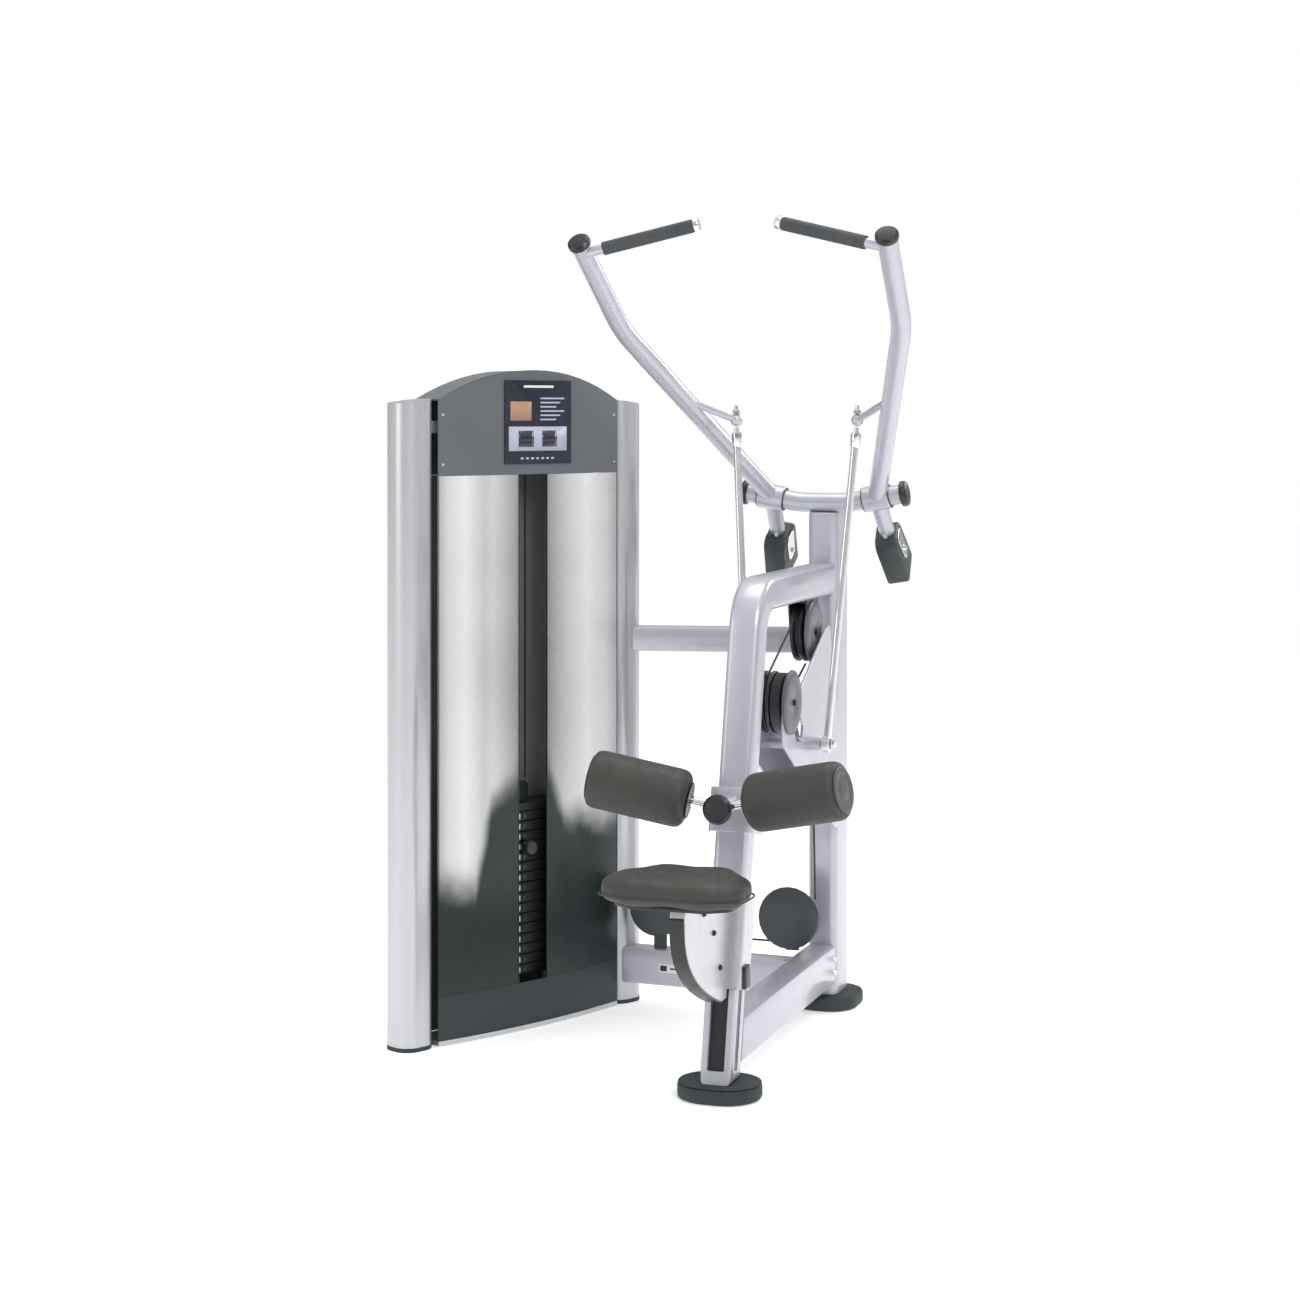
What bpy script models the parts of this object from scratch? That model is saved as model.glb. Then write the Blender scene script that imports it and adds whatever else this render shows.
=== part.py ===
"""Converging pulldown machine with a selectorised weight tower. Metres, +Z up."""
import math

import bpy
import bmesh
from mathutils import Matrix, Vector

for old in list(bpy.data.objects):
    bpy.data.objects.remove(old, do_unlink=True)

GAP = 0.0003
# Main frame
TUBE_W = 0.076
LEG_T = 0.078
LEG_Y = -0.973
LEG_SLOPE = 0.2204
LEG_LEAN = math.atan(LEG_SLOPE)
ARCH_TOP = 1.14
ARCH_R = 0.14
FOOT_H = 0.035
POST_D = 0.126
POST_TOP = 1.2685
# Weight tower, in its own frame: s along the face, v to its back
TOWER_MID = (-0.680, -0.449)
TOWER_DIR = math.radians(64.0)
COL_S = 0.351
COL_TOP = 1.555
SLOT = (-0.060, 0.037)
STACK_S = -0.0115
PLATE_PITCH = 0.0254
PLATE_N = 16
STACK_Z = 0.128
PINNED = 4
# Arms
PIVOT = Vector((0.139, -0.038, 1.307))
TILT = math.radians(9.5)
ARM_BEND = Vector((0.343, -0.625, 1.723))
ARM_END = Vector((0.363, -0.852, 1.911))
HANDLE_ROOT = Vector((0.350, -0.8455, 1.8925))
HANDLE_END = Vector((0.095, -0.793, 1.956))
ROD_TOP = Vector((0.155, -0.304, 1.506))
ROD_LOW = Vector((0.100, -0.386, 0.722))
ROD_RUN = (0.012, 0.0105)
# Lever and pulleys
LEVER_PIVOT = Vector((0.0, -0.030, 0.500))
LOW_PULLEY = Vector((0.0, -0.530, 0.836))
TOP_PULLEY = Vector((0.0, -0.240, 0.980))
PULLEY_R = 0.074
BASE_PULLEY = Vector((-0.052, -0.172, 0.253))
SIDE_PULLEY = Vector((-0.400, -0.185, 0.256))
# Pads
ROLLER_R = 0.068
ROLLER_IN = Vector((0.072, -0.935, 0.657))
ROLLER_OUT = Vector((0.295, -0.967, 0.703))
HUB = Vector((0.0, -0.9285, 0.642))

object_set = bpy.data.collections.new("pulldown_machine")
cutter_set = bpy.data.collections.new("cutters")
bpy.context.scene.collection.children.link(object_set)
bpy.context.scene.collection.children.link(cutter_set)

COLOURS = {
    "frame": ((0.56, 0.56, 0.60), 0.32, 0.55),
    "silver": ((0.62, 0.63, 0.65), 0.28, 0.85),
    "chrome": ((0.78, 0.79, 0.80), 0.10, 1.0),
    "slate": ((0.155, 0.168, 0.180), 0.45, 0.1),
    "black": ((0.02, 0.022, 0.024), 0.40, 0.0),
    "rubber": ((0.025, 0.032, 0.033), 0.75, 0.0),
    "pad": ((0.070, 0.062, 0.055), 0.62, 0.0),
    "iron": ((0.035, 0.036, 0.038), 0.55, 0.6),
    "cover": ((0.115, 0.12, 0.14), 0.38, 0.1),
    "shroud": ((0.30, 0.31, 0.32), 0.25, 0.3),
    "placard": ((0.010, 0.012, 0.030), 0.25, 0.0),
}


def material(name, kind):
    colour, rough, metal = COLOURS[kind]
    mat = bpy.data.materials.new(name + "_" + kind)
    mat.use_nodes = True
    shader = mat.node_tree.nodes["Principled BSDF"]
    shader.inputs["Base Color"].default_value = (*colour, 1.0)
    shader.inputs["Roughness"].default_value = rough
    shader.inputs["Metallic"].default_value = metal
    return mat


def place(name, mesh, kind, origin=None, cutter=False, smooth=True):
    """Names a mesh, moves its origin to its joint and puts it in its collection."""
    if origin is not None:
        mesh.transform(Matrix.Translation(-Vector(origin)))
    mesh.name = name
    mesh.materials.clear()
    ob = bpy.data.objects.new(name, mesh)
    if origin is not None:
        ob.location = origin
    if cutter:
        cutter_set.objects.link(ob)
        ob.hide_render = True
        ob.display_type = "WIRE"
        return ob
    mesh.materials.append(material(name, kind))
    object_set.objects.link(ob)
    if smooth:
        mesh.shade_smooth()
    return ob


def mesh_of_curve(curve, matrix=None):
    ob = bpy.data.objects.new("draft", curve)
    bpy.context.scene.collection.objects.link(ob)
    bpy.context.view_layer.update()
    graph = bpy.context.evaluated_depsgraph_get()
    mesh = bpy.data.meshes.new_from_object(ob.evaluated_get(graph))
    bpy.data.objects.remove(ob, do_unlink=True)
    bm = bmesh.new()
    bm.from_mesh(mesh)
    bmesh.ops.remove_doubles(bm, verts=bm.verts, dist=0.00002)
    bmesh.ops.recalc_face_normals(bm, faces=bm.faces)
    bm.to_mesh(mesh)
    bm.free()
    if matrix is not None:
        mesh.transform(matrix)
    return mesh


def prism(points, low, high, matrix, edge=0.0, steps=1):
    """A closed outline drawn flat, extruded from low to high, its edges rounded."""
    curve = bpy.data.curves.new("outline", "CURVE")
    curve.dimensions = "2D"
    curve.fill_mode = "BOTH"
    line = curve.splines.new("POLY")
    line.points.add(len(points) - 1)
    for spot, (a, b) in zip(line.points, points):
        spot.co = (a, b, 0.0, 1.0)
    line.use_cyclic_u = True
    curve.extrude = (high - low) / 2 - edge
    curve.bevel_depth = edge
    curve.bevel_resolution = steps
    curve.offset = -edge
    lift = Matrix.Translation((0.0, 0.0, (high + low) / 2))
    return mesh_of_curve(curve, matrix @ lift)


def tube(points, radius, sides=2, cyclic=False):
    """A round bar swept along its points, with closed ends."""
    curve = bpy.data.curves.new("sweep", "CURVE")
    curve.dimensions = "3D"
    line = curve.splines.new("POLY")
    line.points.add(len(points) - 1)
    for spot, p in zip(line.points, points):
        spot.co = (p[0], p[1], p[2], 1.0)
    line.use_cyclic_u = cyclic
    curve.bevel_depth = radius
    curve.bevel_resolution = sides
    curve.use_fill_caps = True
    return mesh_of_curve(curve)


def turned(profile, a, b, segments=20):
    """A profile of (along, radius) pairs turned about the line from a to b."""
    a = Vector(a)
    b = Vector(b)
    bm = bmesh.new()
    spots = [bm.verts.new((radius, 0.0, along)) for along, radius in profile]
    edges = [bm.edges.new(pair) for pair in zip(spots, spots[1:])]
    if profile[0][1] > 1e-6 and profile[0] != profile[-1]:
        edges.append(bm.edges.new((spots[-1], spots[0])))
    bmesh.ops.spin(
        bm, geom=spots + edges, axis=(0, 0, 1), cent=(0, 0, 0),
        angle=2 * math.pi, steps=segments, use_merge=True,
    )
    bmesh.ops.remove_doubles(bm, verts=bm.verts, dist=0.00002)
    bmesh.ops.recalc_face_normals(bm, faces=bm.faces)
    mesh = bpy.data.meshes.new("turned")
    bm.to_mesh(mesh)
    bm.free()
    turn = (b - a).to_track_quat("Z", "Y").to_matrix().to_4x4()
    mesh.transform(Matrix.Translation(a) @ turn)
    return mesh


def solid_bar(a, b, radius, edge=0.001, segments=16):
    length = (Vector(b) - Vector(a)).length
    rim = radius - edge
    profile = [(0, 0), (0, rim), (edge, radius), (length - edge, radius), (length, rim), (length, 0)]
    return turned(profile, a, b, segments)


def ring(a, b, inner, outer, edge=0.001, segments=20):
    length = (Vector(b) - Vector(a)).length
    profile = [
        (0, inner), (0, outer - edge), (edge, outer), (length - edge, outer),
        (length, outer - edge), (length, inner),
    ]
    return turned(profile, a, b, segments)


def box(size, centre, edge=0.002, matrix=Matrix(), steps=2):
    """A block with every edge rounded."""
    bm = bmesh.new()
    bmesh.ops.create_cube(bm, size=1.0)
    bmesh.ops.scale(bm, vec=size, verts=bm.verts)
    if edge > 0:
        bmesh.ops.bevel(
            bm, geom=list(bm.edges), offset=edge, segments=steps, affect="EDGES", profile=0.5
        )
    mesh = bpy.data.meshes.new("block")
    bm.to_mesh(mesh)
    bm.free()
    mesh.transform(matrix @ Matrix.Translation(centre))
    return mesh


def fuse(ob, adds=(), cuts=()):
    """Joins the added meshes to a piece, then cuts the others out of it."""
    for operation, group in (("UNION", adds), ("DIFFERENCE", cuts)):
        for i, mesh in enumerate(group):
            tool = place(f"{ob.name}_{operation.lower()}_{i}", mesh, None, cutter=True)
            boolean = ob.modifiers.new(operation.title(), "BOOLEAN")
            boolean.operation = operation
            boolean.solver = "EXACT"
            boolean.object = tool
    return ob


def rounded(points, radii, steps=4):
    """Rounds the corners of a closed outline."""
    out = []
    count = len(points)
    for i, (p, r) in enumerate(zip(points, radii)):
        p = Vector(p)
        before = (Vector(points[i - 1]) - p).normalized()
        after = (Vector(points[(i + 1) % count]) - p).normalized()
        if r <= 0:
            out.append(tuple(p))
            continue
        half = before.angle(after) / 2
        reach = r / math.tan(half)
        start = p + before * reach
        end = p + after * reach
        centre = p + (before + after).normalized() * (r / math.sin(half))
        for k in range(steps + 1):
            mix = start.lerp(end, k / steps) - centre
            out.append(tuple(centre + mix.normalized() * r))
    return out


def oblong(width, height, radius, centre=(0.0, 0.0), steps=4):
    w = width / 2
    h = height / 2
    x, y = centre
    corners = [(x - w, y - h), (x + w, y - h), (x + w, y + h), (x - w, y + h)]
    return rounded(corners, [radius] * 4, steps)


# Drawing planes: outline (a, b) and the way it is extruded
YZ = Matrix(((0, 0, 1, 0), (1, 0, 0, 0), (0, 1, 0, 0), (0, 0, 0, 1)))
XY = Matrix()
TOWER = Matrix.Translation((*TOWER_MID, 0.0)) @ Matrix.Rotation(TOWER_DIR, 4, "Z")
# Tower elevation: outline (s, z) extruded along v
FACE = TOWER @ Matrix(((1, 0, 0, 0), (0, 0, -1, 0), (0, 1, 0, 0), (0, 0, 0, 1)))
# Along the leg: local z up the leg, local y away from the user
LEG = Matrix.Translation((0.0, LEG_Y, 0.03)) @ Matrix.Rotation(-LEG_LEAN, 4, "X")
LEG_SIDE = LEG @ YZ


def tower(s, v, z):
    return TOWER @ Vector((s, v, z))


def leg_y(z, depth=0.0):
    return LEG_Y + LEG_SLOPE * (z - 0.03) + depth / math.cos(LEG_LEAN)


def mirror_x(p):
    return Vector((-p[0], p[1], p[2]))


def sided(p, side):
    return Vector((p[0] * side, p[1], p[2]))


def arch_frame():
    """One bent tube: the leaning front leg and the arch back to the upright."""
    lean = LEG_LEAN
    centre_z = ARCH_TOP - ARCH_R
    centre_y = leg_y(centre_z, ARCH_R)
    low = FOOT_H + GAP
    end = -POST_D / 2 - GAP
    outer = []
    inner = []
    for k in range(11):
        turn = (math.pi - lean) * (1 - k / 10) + math.pi / 2 * k / 10
        for path, r in ((outer, ARCH_R), (inner, ARCH_R - LEG_T)):
            path.append((centre_y + r * math.cos(turn), centre_z + r * math.sin(turn)))
    points = [(leg_y(low), low)] + outer + [(end, ARCH_TOP), (end, ARCH_TOP - LEG_T)]
    points += inner[::-1] + [(leg_y(low, LEG_T), low)]
    ob = place("arch_frame", prism(points, -TUBE_W / 2, TUBE_W / 2, YZ, 0.014, 2), "frame")
    slot = prism(oblong(0.040, 0.300, 0.004, (0.0, 0.185)), -0.012, 0.012,
                 LEG @ Matrix(((1, 0, 0, 0), (0, 0, -1, 0), (0, 1, 0, 0), (0, 0, 0, 1))))
    pocket = prism(oblong(0.0248, 0.2628, 0.0044, (0.030, 0.170)), 0.0366, 0.050, LEG_SIDE)
    fuse(ob, cuts=[slot, pocket])


def rear_post():
    outline = oblong(TUBE_W, POST_D, 0.018)
    ob = place("rear_upright", prism(outline, FOOT_H + GAP, POST_TOP, XY, 0.002, 0), "frame")
    bore = solid_bar((-0.06, *LEVER_PIVOT[1:]), (0.06, *LEVER_PIVOT[1:]), 0.0135, 0.0)
    fuse(ob, cuts=[bore])


def feet():
    front = prism(oblong(0.190, 0.165, 0.078, (0.0, -0.932), 6), 0.0, FOOT_H, XY, 0.008, 1)
    place("front_foot", front, "rubber")
    rear = prism(oblong(0.165, 0.200, 0.070, (0.0, 0.0), 6), 0.0, FOOT_H, XY, 0.008, 1)
    place("rear_foot", rear, "rubber")


def beams():
    low, high = 0.066, 0.164
    end = -POST_D / 2 - GAP
    points = [(leg_y(low, LEG_T) + GAP, low), (end, low), (end, high), (leg_y(high, LEG_T) + GAP, high)]
    place("base_beam", prism(points, -TUBE_W / 2, TUBE_W / 2, YZ, 0.010, 1), "frame")
    for name, low, high, start, stop, wide in (
        ("lower_crossbeam", 0.054, 0.148, (-0.500, -0.150), (-0.0383, -0.172), 0.060),
        ("upper_crossbeam", 0.907, 0.971, (-0.500, -0.125), (-0.0383, -0.030), 0.060),
    ):
        a, b = Vector(start), Vector(stop)
        run = (b - a).normalized()
        side = Vector((-run.y, run.x)) * wide / 2
        skew = run * (side.x / run.x)
        points = [a - side, b - side + skew, b + side - skew, a + side]
        ob = place(name, prism([tuple(p) for p in points], low, high, XY, 0.010, 1), "frame")
        cope = prism(oblong(0.1006, 0.0966, 0.0403, (COL_S, 0.0), 8), 0.0, 1.2, TOWER)
        fuse(ob, cuts=[cope])


def yoke_point(x):
    rise = max(0.0, abs(x) - 0.06) * math.tan(TILT)
    return Vector((x, PIVOT.y, 1.2938 + rise))


def top_yoke():
    """The bar across the upright that both arms turn on, with its end caps."""
    ends = [yoke_point(x) for x in (-0.2065, -0.06, 0.06, 0.2065)]
    ob = place("top_yoke", tube(ends, 0.025, 4), "frame")
    caps = []
    for side in (-1, 1):
        axis = Vector((math.cos(TILT) * side, 0.0, math.sin(TILT)))
        a = sided(ends[3], side) - axis * 0.004
        caps.append(turned([(0, 0), (0, 0.031), (0.002, 0.033), (0.014, 0.032), (0.018, 0.026),
                            (0.019, 0)], a, a + axis, 24))
    fuse(ob, adds=caps)


def arm(side):
    """A swinging arm in one piece: hub, bent tube, handle bar, weight bar and rod bracket."""
    word = "right" if side > 0 else "left"
    pivot = sided(PIVOT, side)
    axis = Vector((math.cos(TILT), 0.0, math.sin(TILT) * side))
    bend, end = sided(ARM_BEND, side), sided(ARM_END, side)
    first = (bend - pivot).normalized()
    last = (end - bend).normalized()
    path = [pivot, bend - first * 0.05]
    for k in range(1, 6):
        t = k / 6
        path.append((bend - first * 0.05) * (1 - t) ** 2 + bend * 2 * t * (1 - t)
                    + (bend + last * 0.05) * t ** 2)
    path += [bend + last * 0.05, end]
    ob = place("arm_" + word, tube(path, 0.0235, 4), "frame", origin=pivot)
    hub = solid_bar(pivot - axis * 0.034, pivot + axis * 0.034, 0.0325, 0.002, 24)
    down = Vector((0.011 * side, 0.116, -0.134)).normalized()
    drop = solid_bar(pivot, pivot + down * 0.128, 0.0205, 0.001, 24)
    inward = (sided(HANDLE_END, side) - sided(HANDLE_ROOT, side)).normalized()
    handle = solid_bar(sided(HANDLE_ROOT, side), sided(HANDLE_END, side), 0.0120, 0.001, 20)
    stop = sided(HANDLE_END, side)
    collar = solid_bar(stop - inward * 0.0125, stop + inward * 0.003, 0.0160, 0.0015, 24)
    root = pivot + first * ((0.455) ** 2 - 0.0) ** 0.5
    top = sided(ROD_TOP, side)
    stalk = solid_bar(root + Vector((0, 0, -0.002)), top + (top - root) * 0.10, 0.0085, 0.001, 16)
    bead = [(0.0155 * (1 - math.cos(math.pi * k / 10)), 0.0155 * math.sin(math.pi * k / 10)) for k in range(11)]
    bead[0], bead[-1] = (0.0, 0.0), (0.031, 0.0)
    knuckle = turned(bead, top - Vector((0, 0, 0.0155)), top, 16)
    cheek = prism(oblong(0.050, 0.112, 0.024, (0.0, -0.014), 5), 0.0, 0.012, Matrix(), 0.002, 0)
    turn = Matrix.Translation(pivot + down * 0.168) @ frame_of(axis, down)
    cheek.transform(turn @ Matrix.Translation((0, 0.0, -0.006)))
    bore = solid_bar(pivot - axis * 0.05, pivot + axis * 0.05, 0.0256, 0.0, 24)
    fuse(ob, adds=[hub, drop, handle, collar, stalk, knuckle, cheek], cuts=[bore])
    cap_a = end + last * GAP
    cap = turned([(0, 0), (0, 0.0265), (0.002, 0.0275), (0.010, 0.027), (0.015, 0.021), (0.017, 0)],
                 cap_a, cap_a + last, 20)
    place("arm_cap_" + word, cap, "black", origin=pivot)
    start = sided(HANDLE_ROOT, side) + inward * 0.040
    grip = ring(start, stop - inward * 0.0130, 0.0125, 0.0158, 0.0015, 24)
    place("grip_" + word, grip, "rubber", origin=pivot)
    counterweight(word, side, pivot, axis, down)


def frame_of(axis, down):
    """Local z along the hinge, local y along the weight bar."""
    z = axis.normalized()
    y = down.normalized()
    x = y.cross(z).normalized()
    y = z.cross(x)
    return Matrix((x, y, z)).transposed().to_4x4()


def counterweight(word, side, pivot, axis, down):
    turn = Matrix.Translation(pivot + down * 0.168) @ frame_of(axis, down)
    points = rounded([(-0.050, -0.050), (0.050, -0.050), (0.054, 0.090), (-0.054, 0.090)],
                     [0.030, 0.030, 0.012, 0.012], 4)
    block = prism(points, -0.029, 0.029, turn, 0.006, 1)
    ob = place("counterweight_" + word, block, "rubber", origin=pivot)
    notch = prism(oblong(0.0516, 0.160, 0.0240, (0.0, -0.036), 5), -0.0066, 0.0066, turn)
    drop = solid_bar(pivot, pivot + down * 0.150, 0.0212, 0.0, 24)
    fuse(ob, cuts=[notch, drop])


def rods():
    for word, side in (("left", -1), ("right", 1)):
        top, low = sided(ROD_TOP, side), sided(ROD_LOW, side)
        run = (low - top).normalized()
        ob = place("rod_" + word, tube([top + run * 0.030, low - run * 0.016], 0.0095, 4),
                   "chrome", origin=top)
        neck = solid_bar(top + run * 0.0178, top + run * 0.045, 0.0060, 0.0005, 16)
        x = Vector((side, 0, 0))
        eye = solid_bar(low - x * 0.009, low + x * 0.009, 0.0210, 0.002, 24)
        bore = solid_bar(low - x * 0.03, low + x * 0.03, 0.0128, 0.0, 16)
        fuse(ob, adds=[neck, eye], cuts=[bore])


def lever():
    """Two cheek plates on a cross pivot, with the stub for the rods and the pulley axle."""
    py, pz = LEVER_PIVOT.y, LEVER_PIVOT.z
    right = [(py + 0.028, pz - 0.028), (py + 0.028, pz + 0.05), (-0.150, 0.930), (-0.165, 0.995),
             (-0.205, 0.985), (-0.455, 0.850), (-0.530, 0.872), (-0.590, 0.820), (-0.590, 0.742),
             (-0.480, 0.676), (-0.110, pz - 0.028)]
    radii = [0.025, 0.02, 0.03, 0.012, 0.015, 0.03, 0.02, 0.03, 0.025, 0.04, 0.03]
    left = list(right)
    left[2:5] = [(-0.190, 0.800), (-0.225, 0.845), (-0.300, 0.862)]
    plate = prism(rounded(right, radii, 3), 0.0435, 0.0495, YZ, 0.0015, 0)
    ob = place("lever", plate, "frame", origin=LEVER_PIVOT)
    other = prism(rounded(left, radii, 3), -0.0495, -0.0435, YZ, 0.0015, 0)
    pin = solid_bar((-0.056, py, pz), (0.056, py, pz), 0.0130, 0.001, 24)
    stub = solid_bar((-0.0845, *ROD_LOW[1:]), (0.0845, *ROD_LOW[1:]), 0.0165, 0.001, 24)
    post = solid_bar((-0.116, *ROD_LOW[1:]), (0.116, *ROD_LOW[1:]), 0.0080, 0.001, 16)
    axle = solid_bar((-0.0515, *LOW_PULLEY[1:]), (0.0515, *LOW_PULLEY[1:]), 0.0080, 0.001, 16)
    hole = prism(rounded([(-0.50, 0.742), (-0.43, 0.728), (-0.41, 0.782), (-0.48, 0.798)],
                         [0.022] * 4, 3), 0.040, 0.053, YZ)
    disc = turned([(0, 0), (0, 0.0745), (0.003, 0.0765), (0.006, 0.0745), (0.008, 0.068), (0.0085, 0)],
                  LOW_PULLEY + Vector((0.0490, 0, 0)), LOW_PULLEY + Vector((1, 0, 0)), 24)
    fuse(ob, adds=[other, pin, stub, post, axle, disc], cuts=[hole])


def sheave(name, centre, axis, radius, width, bore, kind="black"):
    """A grooved pulley wheel with a bore."""
    a = Vector(centre) - Vector(axis) * width / 2
    w = width
    profile = [
        (0, bore), (0, radius - 0.002), (0.002, radius), (w * 0.26, radius), (w * 0.42, radius - 0.009),
        (w * 0.58, radius - 0.009), (w * 0.74, radius), (w - 0.002, radius), (w, radius - 0.002), (w, bore),
    ]
    place(name, turned(profile, a, a + Vector(axis), 24), kind, origin=centre)


def guard(name, centre, axis, offset, radius):
    a = Vector(centre) + Vector(axis) * offset
    disc = turned([(0, 0), (0, radius - 0.002), (0.002, radius), (0.006, radius - 0.002),
                   (0.0085, radius - 0.009), (0.0095, 0)], a, a + Vector(axis), 24)
    if name is None:
        return disc
    return place(name, disc, "cover")


def pulleys():
    x = Vector((1, 0, 0))
    sheave("lever_pulley", LOW_PULLEY, x, PULLEY_R, 0.030, 0.0086)
    sheave("arch_pulley", TOP_PULLEY, x, PULLEY_R, 0.030, 0.0086)
    cheek = [(-0.275, 0.962), (-0.240, 0.940), (-0.205, 0.962), (-0.185, 1.0617), (-0.295, 1.0617)]
    edge = [0.02, 0.03, 0.02, 0.0, 0.0]
    ob = place("arch_pulley_bracket", prism(rounded(cheek, edge, 3), -0.0245, -0.0195, YZ), "black")
    other = prism(rounded(cheek, edge, 3), 0.0195, 0.0245, YZ)
    axle = solid_bar(TOP_PULLEY - x * 0.0230, TOP_PULLEY + x * 0.0252, 0.0080, 0.0005, 16)
    roof = box((0.046, 0.102, 0.006), (0.0, -0.240, 1.0577), 0.0)
    fuse(ob, adds=[other, axle, roof, guard(None, TOP_PULLEY, x, 0.0235, 0.0775)])
    run = (SIDE_PULLEY - BASE_PULLEY)
    run.z = 0
    face = Vector((run.y, -run.x, 0)).normalized()
    if face.y > 0:
        face = -face
    for word, centre in (("base", BASE_PULLEY), ("tower", SIDE_PULLEY)):
        sheave(word + "_pulley", centre, face, 0.0700, 0.024, 0.0086)
        disc = guard(word + "_pulley_cover", centre, face, 0.0185, 0.0785 if word == "base" else 0.070)
        pin = solid_bar(centre - face * 0.0200, centre + face * 0.0225, 0.0081, 0.0, 18)
        foot = centre - face * 0.0195
        turn = Matrix.Translation((foot.x, foot.y, 0.0)) @ face_frame(face)
        rise = 0.1645 if word == "base" else 0.1485
        strap = box((0.034, 0.276 - rise, 0.006), (0.0, (0.276 + rise) / 2, 0.0), 0.0012, turn, 1)
        fuse(disc, adds=[pin, strap])


def face_frame(normal):
    """Local x level, local y up, local z along the normal."""
    z = normal.normalized()
    y = Vector((0, 0, 1))
    x = y.cross(z)
    return Matrix((x, y, z)).transposed().to_4x4()


def cables():
    """Steel cable held on its pulleys all the way."""
    r = 0.0026
    lift = PULLEY_R - 0.009 + r + 0.0006
    low, top = LOW_PULLEY, TOP_PULLEY
    gap = low - top
    along = gap.normalized()
    side = Vector((0, -along.z, along.y))
    if side.z < 0:
        side = -side
    strand = [top + side * lift + along * 0.0, low + side * lift]
    place("lever_cable", tube([strand[0].lerp(strand[1], t / 4) for t in range(5)], r, 1), "iron")
    wrap = []
    first = math.atan2(side.z, side.y)
    for k in range(17):
        turn = first + 0.03 + (math.pi - 0.06) * k / 16
        wrap.append(low + Vector((0, math.cos(turn), math.sin(turn))) * lift)
    place("lever_pulley_wrap", tube(wrap, r, 1), "iron", origin=LEVER_PIVOT)
    back = [low - side * lift, top - side * lift * 1.22 + along * 0.02]
    place("return_cable", tube([back[0].lerp(back[1], t / 4) for t in range(5)], r, 1), "iron")
    over = []
    for k in range(13):
        turn = first - 0.03 - (first - 0.0 - 0.03) * k / 12
        over.append(top + Vector((0, math.cos(turn), math.sin(turn))) * lift)
    foot = Vector((0.012, over[-1].y, 0.300))
    over += [over[-1].lerp(foot, k / 8) for k in range(1, 9)]
    place("upright_cable", tube(over, r, 1), "iron")
    run = (SIDE_PULLEY - BASE_PULLEY)
    level = Vector((run.x, run.y, 0)).normalized()
    reach = 0.070 - 0.009 + r + 0.0006
    a = BASE_PULLEY - Vector((0, 0, reach))
    b = SIDE_PULLEY - Vector((0, 0, reach))
    path = []
    for k in range(9):
        turn = math.radians(5 - 95 * k / 8)
        path.append(BASE_PULLEY - level * math.cos(turn) * reach + Vector((0, 0, math.sin(turn) * reach)))
    path += [a.lerp(b, k / 6) for k in range(1, 6)]
    for k in range(8):
        turn = math.radians(-90 - 60 * k / 7)
        path.append(SIDE_PULLEY - level * math.cos(turn) * reach + Vector((0, 0, math.sin(turn) * reach)))
    place("base_cable", tube(path, r, 1), "iron")


def rollers():
    """The two tilted foam rollers and the carriage that holds them on the leg."""
    for word, side in (("left", -1), ("right", 1)):
        a, b = sided(ROLLER_IN, side), sided(ROLLER_OUT, side)
        length = (b - a).length
        r = ROLLER_R
        profile = [(0, 0.0128), (0, r - 0.018), (0.004, r - 0.007), (0.014, r), (length - 0.012, r),
                   (length - 0.003, r - 0.006), (length, r - 0.016), (length, 0.0128)]
        place("thigh_roller_" + word, turned(profile, a, b, 24), "pad", origin=a)
    spots = [mirror_x(ROLLER_OUT), mirror_x(ROLLER_IN), sided(ROLLER_IN, 1), ROLLER_OUT]
    axis = (ROLLER_OUT - ROLLER_IN).normalized()
    spots[0] = mirror_x(ROLLER_OUT - axis * 0.004)
    spots[3] = ROLLER_OUT - axis * 0.004
    spots[1:3] = [mirror_x(ROLLER_IN - axis * 0.062), ROLLER_IN - axis * 0.062]
    ob = place("roller_axle", tube(spots, 0.0123, 4), "chrome")
    stem = solid_bar(HUB + Vector((0, 0.010, 0.005)), Vector((0.0, leg_y(0.647) - 0.014, 0.647)), 0.017)
    sleeve = prism(oblong(0.105, 0.107, 0.020, (0.0, 0.0394)), 0.560, 0.660, LEG, 0.002, 0)
    inside = prism(oblong(0.0770, 0.0790, 0.0143, (0.0, 0.0390)), 0.50, 0.72, LEG)
    fuse(ob, adds=[stem, sleeve], cuts=[inside])
    face = (HUB - Vector((0, 0.012, 0)))
    knob = turned([(0, 0), (0, 0.030), (0.003, 0.0335), (0.012, 0.0335), (0.017, 0.028), (0.018, 0)],
                  face - Vector((0, 0.0010, 0)), face - Vector((0, 1, 0)), 24)
    place("roller_knob", knob, "black")


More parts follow.
